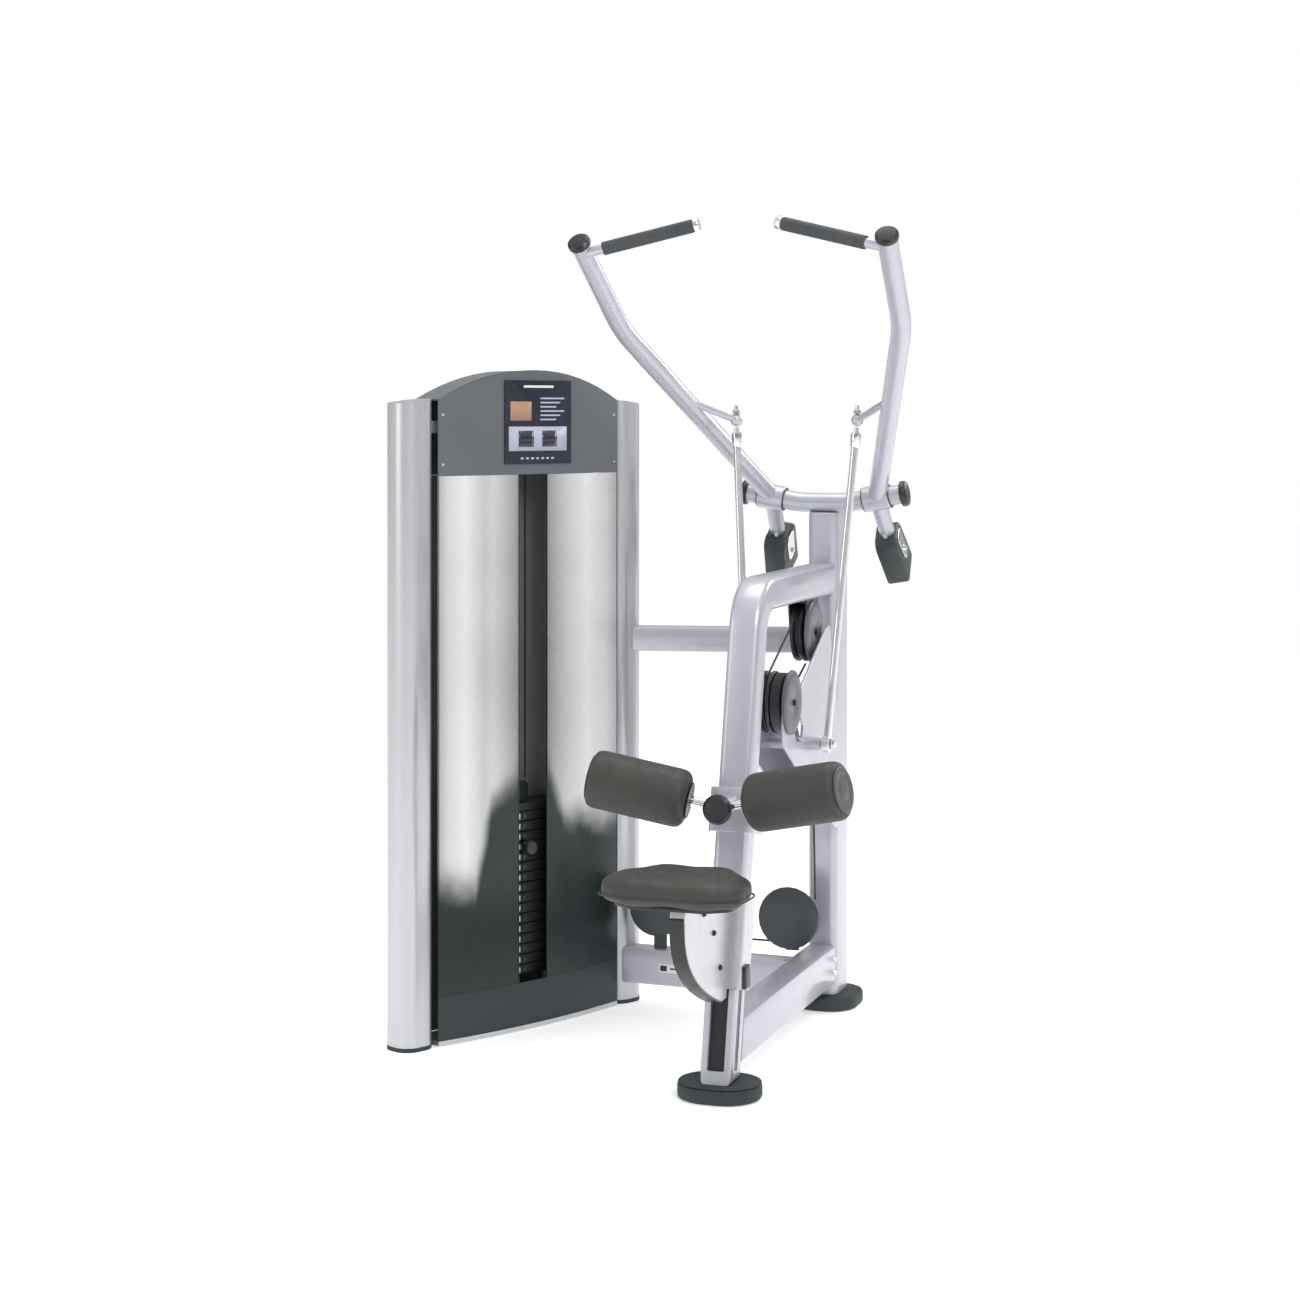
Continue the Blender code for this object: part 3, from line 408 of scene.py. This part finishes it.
def bolt(at, way, across=0.008, tall=0.006):
    """A hexagon head on its washer."""
    at, way = Vector(at), Vector(way).normalized()
    washer = turned([(0, 0), (0, across * 1.25), (0.0012, across * 1.25), (0.0013, 0)], at, at + way, 24)
    head = turned([(0, 0), (0, across), (tall * 0.8, across), (tall, across * 0.85), (tall, 0)],
                  at + way * 0.0013, at + way, 6)
    return joined([washer, head])


def joined(meshes):
    """Several meshes as one."""
    bm = bmesh.new()
    for mesh in meshes:
        bm.from_mesh(mesh)
    out = bpy.data.meshes.new("group")
    bm.to_mesh(out)
    bm.free()
    return out


def block(size, centre, edge=0.001, matrix=Matrix(), steps=2):
    """A box with rounded edges."""
    bm = bmesh.new()
    bmesh.ops.create_cube(bm, size=1.0)
    bmesh.ops.scale(bm, vec=size, verts=bm.verts)
    if edge:
        bmesh.ops.bevel(bm, geom=list(bm.edges), offset=edge, segments=steps, affect="EDGES", profile=0.5)
    mesh = clean(bm, "block")
    mesh.transform(matrix @ Matrix.Translation(centre))
    return mesh


def rounded(points, radii, steps=5):
    """An outline with each corner made an arc of its radius."""
    out = []
    for i, (p, r) in enumerate(zip(points, radii)):
        p = Vector(p)
        before = (Vector(points[i - 1]) - p).normalized()
        after = (Vector(points[(i + 1) % len(points)]) - p).normalized()
        if r <= 0:
            out.append(tuple(p))
            continue
        half = before.angle(after) / 2
        start, end = p + before * r / math.tan(half), p + after * r / math.tan(half)
        centre = p + (before + after).normalized() * (r / math.sin(half))
        for k in range(steps + 1):
            out.append(tuple(centre + (start.lerp(end, k / steps) - centre).normalized() * r))
    return out


def oblong(width, height, radius, centre=(0.0, 0.0), steps=5):
    w, h = width / 2, height / 2
    x, y = centre
    return rounded([(x - w, y - h), (x + w, y - h), (x + w, y + h), (x - w, y + h)], [radius] * 4, steps)


def crown(s):
    """How far the tower's front bulges at s."""
    return BOW * (1 - (s / PANEL_HALF) ** 2)


def bowed(s0, s1, v, depth, steps=12):
    """The outline of a thin strip that follows the front's bulge."""
    spots = [s0 + (s1 - s0) * k / steps for k in range(steps + 1)]
    line = [(s, v - crown(s)) for s in spots]
    return line + [(s, y + depth) for s, y in reversed(line)]


def tower(s, v, z):
    """A point given in the tower's own directions."""
    return TOWER @ Vector((s, v, z))


def sided(p, side):
    """A point of the right side, or its mirror image where side is -1."""
    return Vector((p[0] * side, p[1], p[2]))


# ---------------------------------------------------------------- soft pads
def stuffed(name, mesh, body, node, pressure, most):
    """A foam pad under its cover: the cover is inflated a little and keeps close to its shape."""
    ob = bpy.data.objects.new(name, mesh)
    scene.collection.objects.link(ob)
    remesh = ob.modifiers.new("remesh", "REMESH")
    remesh.mode = "VOXEL"
    remesh.voxel_size = 0.0055
    bpy.context.view_layer.update()
    graph = bpy.context.evaluated_depsgraph_get()
    made = bpy.data.meshes.new_from_object(ob.evaluated_get(graph))
    ob.modifiers.clear()
    ob.data = made
    rest = [v.co.copy() for v in made.vertices]
    cloth = ob.modifiers.new("cover", "CLOTH")
    cloth.settings.quality = 6
    cloth.settings.mass = 0.3
    cloth.settings.tension_stiffness = 25
    cloth.settings.compression_stiffness = 25
    cloth.settings.bending_stiffness = 2
    cloth.settings.use_pressure = True
    cloth.settings.uniform_pressure_force = pressure
    cloth.settings.effector_weights.gravity = 0.0
    cloth.point_cache.frame_start = 1
    cloth.point_cache.frame_end = 20
    for f in range(1, 21):
        scene.frame_set(f)
    graph = bpy.context.evaluated_depsgraph_get()
    blown = bpy.data.meshes.new_from_object(ob.evaluated_get(graph))
    ob.modifiers.clear()
    for v, old in zip(blown.vertices, rest):
        step = v.co - old
        if step.length > most:
            v.co = old + step.normalized() * most
    ob.data = blown
    scene.frame_set(1)
    bm = bmesh.new()
    bm.from_mesh(ob.data)
    for _ in range(6):
        bmesh.ops.smooth_vert(bm, verts=bm.verts, factor=0.5, use_axis_x=True, use_axis_y=True,
                              use_axis_z=True)
    bm.to_mesh(ob.data)
    bm.free()
    fine = ob.modifiers.new("fine", "SUBSURF")
    fine.levels = 1
    fine.render_levels = 1
    ob.data.materials.clear()
    ob.data.materials.append(M["pad"])
    ob.data.shade_smooth()
    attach(ob, body)
    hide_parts(node)
    return ob


def seat_shape():
    """The saddle: a rounded plan, dished along its middle, fuller at the sides."""
    plan = rounded([(-0.160, -1.285), (-0.10, -1.328), (0.10, -1.328), (0.160, -1.285), (0.160, -1.20),
                    (0.084, -1.082), (-0.084, -1.082), (-0.160, -1.20)], SEAT_RADII, 6)
    return prism(plan, 0.4895, 0.5435, Matrix(), 0.020, 4)


def soft_pads():
    """The seat with its seam and board, and the two rollers with their ends."""
    stuffed("seat_cushion", seat_shape(), "seat", "seat_pad", 3.0, 0.0035)
    hem = rounded([(-0.1655, -1.287), (-0.102, -1.3335), (0.102, -1.3335), (0.1655, -1.287),
                   (0.1655, -1.199), (0.086, -1.0765), (-0.086, -1.0765), (-0.1655, -1.199)],
                  SEAT_RADII, 8)
    loop = [Vector((x * 0.985, -1.2 + (y + 1.2) * 0.985, 0.5065)) for x, y in hem]
    shown("seat_seam", tube(loop + [loop[0]], 0.0018, 2), "pad", "seat")
    plan = [(x * 0.80, -1.195 + (y + 1.195) * 0.80) for x, y in hem]
    shown("seat_board", prism(plan, 0.4822, 0.4902, Matrix(), 0.001, 1), "black", "seat")
    for word, side in (("left", -1), ("right", 1)):
        a, b = sided(ROLLER_IN, side), sided(ROLLER_OUT, side)
        way = (b - a).normalized()
        size = (b - a).length
        r = 0.0660
        profile = [(0.0005, 0), (0.0005, r - 0.022), (0.004, r - 0.010), (0.012, r - 0.002),
                   (0.022, r), (size - 0.016, r), (size - 0.007, r - 0.002),
                   (size - 0.003, r - 0.008), (size - 0.002, 0)]
        stuffed("roller_foam_" + word, turned(profile, a, b, 56), "roller_" + word,
                "thigh_roller_" + word, 3.0, 0.0018)
        end = b - way * 0.0030
        disc = turned([(0, 0), (0, 0.050), (0.0020, 0.0515), (0.0034, 0.049), (0.0034, 0.038),
                       (0.0024, 0.036), (0.0024, 0.022), (0.0036, 0.020), (0.0038, 0.008),
                       (0.0038, 0)], end, end + way, 56)
        shown("roller_end_" + word, disc, "roller_end", "roller_" + word)
        inner = turned([(0, 0.0125), (0, 0.040), (0.002, 0.041), (0.003, 0.040), (0.003, 0.0125)],
                       a - way * 0.0006, a - way, 48)
        shown("roller_inner_" + word, inner, "black", "roller_" + word)


# ---------------------------------------------------------------- arms and yoke
def yoke_pieces():
    """The bent yoke bar, its end caps and the seals at the arms' hubs."""
    rise = math.tan(TILT)
    ends = []
    for k in range(-12, 13):
        x = YOKE_HALF * k / 12
        lift = max(0.0, abs(x) - 0.06)
        soft = (abs(x) - 0.045) ** 2 / 0.06 if 0.045 < abs(x) < 0.075 else lift
        ends.append(Vector((x, PIVOT.y, YOKE_Z + soft * rise)))
    shown("yoke_bar", tube(ends, 0.0248, 10), "frame", "frame", ["top_yoke"])
    for word, side in (("left", -1), ("right", 1)):
        axis = Vector((math.cos(TILT) * side, 0, math.sin(TILT)))
        a = sided(ends[-1], side) - axis * 0.004
        cap = turned([(0, 0), (0, 0.030), (0.002, 0.0325), (0.012, 0.0325), (0.0155, 0.030),
                      (0.0175, 0.024), (0.0185, 0.010), (0.0185, 0)], a, a + axis, 48)
        shown("yoke_cap_" + word, cap, "black")
        for sign, spot in ((1, "outer"), (-1, "inner")):
            b = sided(PIVOT, side) + axis * HUB_HALF * sign
            seal = turned([(0, 0.0258), (0, 0.0305), (0.0018, 0.0305), (0.0018, 0.0258)],
                          b, b + axis * sign, 40)
            shown(f"hub_seal_{word}_{spot}", seal, "black", "arm_" + word)


def frame_of(axis, down):
    """The turn whose Z is the axis and whose X is square to it and to down."""
    z = axis.normalized()
    x = down.normalized().cross(z).normalized()
    return Matrix((x, z.cross(x), z)).transposed().to_4x4()


def weight_brackets():
    """Straps and bolts on the counterweights, the rods' fittings and the handles' end rings."""
    for word, side in (("left", -1), ("right", 1)):
        pivot = sided(PIVOT, side)
        axis = Vector((math.cos(TILT), 0, math.sin(TILT) * side))
        down = sided(DOWN, side)
        turn = Matrix.Translation(pivot + down * 0.168) @ frame_of(axis, down)
        for sign, spot in ((1, "a"), (-1, "b")):
            low, high = sorted((sign * 0.0292, sign * 0.0322))
            points = rounded([(-0.026, -0.040), (0.026, -0.040), (0.020, 0.040), (-0.020, 0.040)],
                             [0.012, 0.012, 0.018, 0.018], 6)
            shown(f"weight_strap_{word}_{spot}", prism(points, low, high, turn, 0.0010, 2), "chrome",
                  "arm_" + word)
            at = turn @ Vector((0, 0.014, sign * 0.0322))
            out = turn.to_3x3() @ Vector((0, 0, sign))
            shown(f"weight_bolt_{word}_{spot}", bolt(at, out, 0.007, 0.005), "chrome", "arm_" + word)
        top = sided(ROD_TOP, side)
        up = Vector((0, 0, 1))
        shown("rod_nut_" + word, bolt(top + up * 0.0148, up, 0.009, 0.010), "chrome", "arm_" + word)
        shown("rod_stud_" + word, bar(top + up * 0.0245, top + up * 0.038, 0.0045), "chrome", "arm_" + word)
        run = (sided(ROD_LOW, side) - top).normalized()
        sleeve = turned([(0, 0.0098), (0, 0.0125), (0.030, 0.0125), (0.034, 0.0098)],
                        top + run * 0.034, top + run, 32)
        shown("rod_sleeve_" + word, sleeve, "chrome", "rod_" + word)
        low = sided(ROD_LOW, side)
        x = Vector((side, 0, 0))
        shown("rod_end_nut_" + word, bolt(low + x * 0.0125, x, 0.010, 0.007), "chrome", "lever")
        stop = sided(HANDLE_END, side)
        inward = (stop - sided(HANDLE_ROOT, side)).normalized()
        ring = turned([(0, 0), (0, 0.0150), (0.001, 0.0163), (0.0115, 0.0163), (0.014, 0.0145),
                       (0.0150, 0)], stop - inward * 0.0118, stop + inward, 32)
        shown("grip_end_" + word, ring, "chrome", "arm_" + word)


# ---------------------------------------------------------------- pulleys and cables
def pulley_trim():
    """Cover discs and guard of the two big pulleys, and the cable runs that change length."""
    x = Vector((1, 0, 0))
    for name, centre, lift, body, r in (("arch", TOP_PULLEY, 0.0236, "frame", 0.0778),
                                        ("lever", LOW_PULLEY, 0.0496, "lever", 0.0768)):
        a = centre + x * lift
        disc = turned([(0, 0), (0, r - 0.001), (0.002, r), (0.0055, r - 0.0005), (0.0085, r - 0.006),
                       (0.0101, r - 0.016), (0.0101, 0.018), (0.0092, 0.016), (0.0092, 0)],
                      a, a + x, 64)
        shown(name + "_cover_disc", disc, "cover", body)
        head = bolt(centre + x * (lift + 0.0092), x, 0.0065, 0.004)
        shown(name + "_cover_bolt", head, "black", body)
    drum = turned([(0, 0.0088), (0, 0.066), (0.002, 0.070), (0.024, 0.070), (0.0262, 0.066),
                   (0.0262, 0.0088)], LOW_PULLEY + x * 0.0166, LOW_PULLEY + x, 48)
    shown("lever_pulley_guard", drum, "black", "lever")
    groove = 0.0682
    along = (LOW_PULLEY - TOP_PULLEY).normalized()
    side = Vector((0, -along.z, along.y))
    side = side if side.z > 0 else -side
    runs = {
        "lever_cable": (TOP_PULLEY + side * groove, LOW_PULLEY + side * groove),
        "return_cable": (TOP_PULLEY - side * groove * 1.22 + along * 0.02, LOW_PULLEY - side * groove),
    }
    for name, (a, b) in runs.items():
        mesh = tube([a.lerp(b, k / 24) for k in range(25)], 0.0025, 4)
        ob = shown(name + "_run", mesh, "cable", None, [name])
        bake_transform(ob)
    top = 1.4745
    low = STACK_Z + PLATES * PITCH + 0.053
    for name, s in (("fixed", -0.026), ("running", 0.022)):
        a, b = tower(s, 0, top), tower(s, 0, low)
        mesh = tube([a.lerp(b, k / 40) for k in range(41)], 0.0026, 4)
        node = "stack_cable_" + name
        ob = shown("stack_run_" + name, mesh, "cable", None, [node])
        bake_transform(ob)


# ---------------------------------------------------------------- tower
def weights():
    """The plates in their two groups, with their labels, and black discs of painted shade where the pin
    holes are.
    """
    low = PLATES - PINNED
    lower = []
    pinned = []
    for k in range(PLATES):
        z = STACK_Z + PITCH * k
        outline = oblong(0.328, 0.070, 0.006, (STACK_S, 0.0), 3)
        mesh = prism(outline, z + 0.0006, z + PITCH - 0.0010, TOWER, 0.0022, 2)
        (lower if k < low else pinned).append(mesh)
    shown("weights_down", joined(lower), "iron", "frame", ["lower_weights"])
    shown("weights_pinned", joined(pinned), "iron", "stack", ["pinned_weights"])
    for body, word, rows in (("frame", "down", range(low)), ("stack", "pinned", range(low, PLATES))):
        tags = [block((0.017, 0.0008, 0.013), (-0.034, -0.0358, STACK_Z + PITCH * (k + 0.5)), 0.0003,
                      TOWER, 1) for k in rows]
        shown("weight_labels_" + word, joined(tags), "white", body)
        # painted shade: flat black discs stand for the dark inside of each pin hole, which is not cut into
        # the plates
        pin_hole_shades = []
        for k in rows:
            if k == low:
                continue
            at = tower(STACK_S, -0.0349, STACK_Z + PITCH * (k + 0.5))
            spots = [(0, 0), (0, 0.0060), (0.0010, 0.0060), (0.0010, 0)]
            pin_hole_shades.append(turned(spots, at, at + TOWER_OUT, 20))
        shown("weight_hole_shade_" + word, joined(pin_hole_shades), "black", body)


def placard_print():
    """A plain generic instruction card: bars for lines and simple blocks for drawings."""
    v = -0.0490

    def card(name, s0, s1, z0, z1, kind, lift=0.0004):
        plan = bowed(s0, s1, v, -lift, 6)
        shown(name, prism(plan, z0, z1, TOWER), kind, smooth=False)

    card("card_diagram", -0.093, 0.101, 1.430, 1.490, "print")
    for k in range(6):
        drop = 0.0105 * k
        card(f"card_line_{k}", 0.010, 0.092 - 0.014 * (k % 3), 1.558 - drop, 1.562 - drop, "print")
    card("card_heading", -0.045, 0.055, 1.586, 1.592, "white")
    card("card_figure", -0.088, -0.020, 1.505, 1.552, "warm")
    for k, s in enumerate((-0.062, 0.016)):
        card(f"card_block_{k}", s, s + 0.050, 1.440, 1.480, "placard", 0.0008)
    for k in range(7):
        card(f"card_dash_{k}", -0.055 + 0.017 * k, -0.046 + 0.017 * k, 1.409, 1.414, "print")


def tower_trim():
    """Column feet and rims, the slot's edges, gaskets and the panel's screws."""
    for word, s in (("front", -COLUMN_S), ("rear", COLUMN_S)):
        foot = prism(oblong(0.1012, 0.0972, 0.0405, (s, 0.0), 8), 0.0, 0.0100, TOWER, 0.0, 0)
        shown("column_foot_" + word, foot, "foot")
        rim = prism(oblong(0.1008, 0.0968, 0.0402, (s, 0.0), 8), 0.0112, 0.0150, TOWER, 0.0, 0)
        shown("column_rim_" + word, rim, "column")
    for word, s in (("left", -0.0585), ("right", 0.0355)):
        y = PANEL_V - crown(s)
        edge = block((0.0022, 0.0050, 1.2520), (s, y + 0.0015, 0.745), 0.0004, TOWER, 1)
        shown("slot_edge_" + word, edge, "black")
    for k, s in enumerate((-0.298, 0.298)):
        strip = block((0.0016, 0.006, 1.250), (s, -0.0440, 0.745), 0.0003, TOWER, 1)
        shown(f"panel_gasket_{k}", strip, "black")
    for k, z in enumerate((1.40, 1.52)):
        for j, s in enumerate((-0.286, 0.286)):
            at = tower(s, PANEL_V - crown(s), z)
            cap = turned([(0, 0), (0, 0.004), (0.0010, 0.0036), (0.0014, 0)], at, at + TOWER_OUT, 20)
            shown(f"panel_screw_{k}_{j}", cap, "chrome")


# ---------------------------------------------------------------- leg, seat and base
def hollowed(ob, mesh):
    """Cuts the mesh out of a piece and keeps the result as its own mesh."""
    hollow = bpy.data.objects.new("sleeve_cut", mesh)
    scene.collection.objects.link(hollow)
    cut = ob.modifiers.new("hollow", "BOOLEAN")
    cut.operation = "DIFFERENCE"
    cut.solver = "EXACT"
    cut.object = hollow
    bpy.context.view_layer.update()
    graph = bpy.context.evaluated_depsgraph_get()
    shell = bpy.data.meshes.new_from_object(ob.evaluated_get(graph))
    ob.modifiers.clear()
    ob.data = shell
    bpy.data.objects.remove(hollow, do_unlink=True)


def leg_trim():
    """The leg's slot and index dots, the rollers' sleeve, the seat's gusset, bolts and plates."""
    liner = prism(oblong(0.0396, 0.2990, 0.0038, (0.0, 0.185)), -0.0118, -0.0106, LEG_FRONT)
    shown("leg_slot_liner", liner, "black")
    for k in range(9):
        at = LEG @ Vector((0.0368, 0.030, 0.066 + 0.026 * k))
        spots = [(0, 0), (0, 0.0058), (0.0004, 0.0058), (0.0004, 0)]
        dot = turned(spots, at, at + Vector((1, 0, 0)), 20)
        shown(f"index_hole_{k}", dot, "cover")
    skin = prism(oblong(0.1058, 0.1078, 0.0204, (0.0, 0.0394), 8), 0.5594, 0.6606, LEG, 0.0022, 2)
    core = prism(oblong(0.1046, 0.1066, 0.0198, (0.0, 0.0394), 8), 0.54, 0.68, LEG)
    sleeve = shown("sleeve_skin", skin, "frame", "thigh_carriage")
    hollowed(sleeve, core)
    rail = []
    for k in range(13):
        t = k / 12
        rail.append((-1.2335 + 0.262 * t ** 1.6, 0.454 - 0.232 * t ** 0.62))
    band = rail + [(y - 0.0035, z - 0.0030) for y, z in reversed(rail)]
    shown("gusset_strip", prism(band, -0.0165, 0.0165, YZ), "black", "seat")
    for side, word in ((1, "right"), (-1, "left")):
        for k, (y, z) in enumerate(((-1.10, 0.440), (-0.985, 0.300), (-1.03, 0.385))):
            head = bolt((0.0172 * side, y, z), (side, 0, 0), 0.0055, 0.004)
            shown(f"gusset_bolt_{word}_{k}", head, "black", "seat")
    for k, z in enumerate((0.10, 0.135)):
        for word, side in (("left", -1), ("right", 1)):
            head = bolt((0.0382 * side, -0.085, z), (side, 0, 0), 0.007, 0.0045)
            shown(f"beam_bolt_{word}_{k}", head, "chrome")
    a = Vector((-0.500, -0.150, 0.101))
    b = Vector((-0.0383, -0.172, 0.101))
    run = (b - a).normalized()
    out = Vector((run.y, -run.x, 0))
    facing = Matrix((run, Vector((0, 0, 1)), out)).transposed().to_4x4()
    turn = Matrix.Translation(a + run * 0.15 + out * 0.0302) @ facing
    shown("beam_plate", prism(oblong(0.095, 0.022, 0.002), 0, 0.0010, turn), "white")
    mark = prism(oblong(0.018, 0.014, 0.002, (-0.034, 0)), 0.0010, 0.0014, turn)
    shown("beam_plate_mark", mark, "black")
    line = prism(oblong(0.056, 0.004, 0.001, (0.012, 0)), 0.0010, 0.0014, turn)
    shown("beam_plate_bar", line, "kick")
    groove = prism(oblong(0.186, 0.161, 0.076, (0.0, -0.932), 8), 0.0353, 0.0358, Matrix())
    shown("front_foot_rim", groove, "foot")
    y = LEG_Y + LEG_SLOPE * 0.30 + 0.02
    knob = turned([(0, 0), (0, 0.0155), (0.002, 0.0165), (0.013, 0.0165), (0.0165, 0.013),
                   (0.0170, 0)], (-0.0985, y, 0.330), (-1, y, 0.330), 32)
    shown("pull_pin_knob", knob, "black", "seat_pull_pin")
    y = LEG_Y + LEG_SLOPE * 0.232 + 0.030
    lock = block((0.0155, 0.0355, 0.0515), (0.0467, y, 0.262), 0.003)
    shown("lock_block", lock, "black", "seat")


# ---------------------------------------------------------------- studio
def studio():
    """The white floor and surround, four soft lamps and the camera."""
    bpy.ops.mesh.primitive_plane_add(size=60, location=(0, 0, -0.0002))
    floor = bpy.context.object
    floor.name = "floor"
    mat, tree, shader = shader_of("floor_white", (0.93, 0.93, 0.93), 0.6)
    shader.inputs["Emission Color"].default_value = (1, 1, 1, 1)
    shader.inputs["Emission Strength"].default_value = 0.34
    floor.data.materials.append(mat)
    world = bpy.data.worlds.new("studio")
    scene.world = world
    world.use_nodes = True
    tree = world.node_tree
    back = tree.nodes["Background"]
    rays = tree.nodes.new("ShaderNodeLightPath")
    where = tree.nodes.new("ShaderNodeTexCoord")
    split = tree.nodes.new("ShaderNodeSeparateXYZ")
    ramp = tree.nodes.new("ShaderNodeValToRGB")
    link(tree, where, "Generated", split, "Vector")
    lift = tree.nodes.new("ShaderNodeMapRange")
    lift.inputs["From Min"].default_value = -1.0
    lift.inputs["From Max"].default_value = 1.0
    link(tree, split, "Z", lift, "Value")
    link(tree, lift, "Result", ramp, "Fac")
    set_stops(ramp.color_ramp, [(0.0, 0.55), (0.48, 0.55), (0.55, 0.26), (0.70, 0.66), (1.0, 0.85)])
    mix = tree.nodes.new("ShaderNodeMix")
    mix.data_type = "RGBA"
    link(tree, rays, "Is Camera Ray", mix, "Factor")
    tree.links.new(ramp.outputs["Color"], mix.inputs[6])
    mix.inputs[7].default_value = (1, 1, 1, 1)
    tree.links.new(mix.outputs[2], back.inputs["Color"])
    back.inputs["Strength"].default_value = 1.0
    for name, at, aim, watts, wide in (
        ("key", (3.2, -4.2, 4.6), (0, -0.4, 0.8), 120, 2.2),
        ("fill", (-4.2, -4.0, 2.6), (-0.4, -0.4, 0.8), 45, 3.0),
        ("top", (0.0, 0.2, 5.2), (0, -0.3, 0), 70, 3.0),
        ("rim", (2.2, 3.6, 3.0), (0, 0, 1.0), 50, 2.0),
    ):
        lamp = bpy.data.lights.new(name, "AREA")
        lamp.energy = watts
        lamp.size = wide
        ob = bpy.data.objects.new(name, lamp)
        ob.location = at
        ob.rotation_euler = (Vector(aim) - Vector(at)).to_track_quat("-Z", "Y").to_euler()
        scene.collection.objects.link(ob)
    scene.view_settings.view_transform = "Standard"
    data = bpy.data.cameras.new("camera")
    data.sensor_width = 36.0
    data.lens = 69.07
    data.shift_x = -0.0023
    data.shift_y = -0.1818
    camera = bpy.data.objects.new("camera", data)
    camera.location = (1.670, -6.236, 1.522)
    camera.rotation_euler = (math.radians(90), 0, math.radians(19.01))
    scene.collection.objects.link(camera)
    scene.camera = camera


dress_nodes()
soft_pads()
yoke_pieces()
weight_brackets()
pulley_trim()
weights()
placard_print()
tower_trim()
leg_trim()
studio()
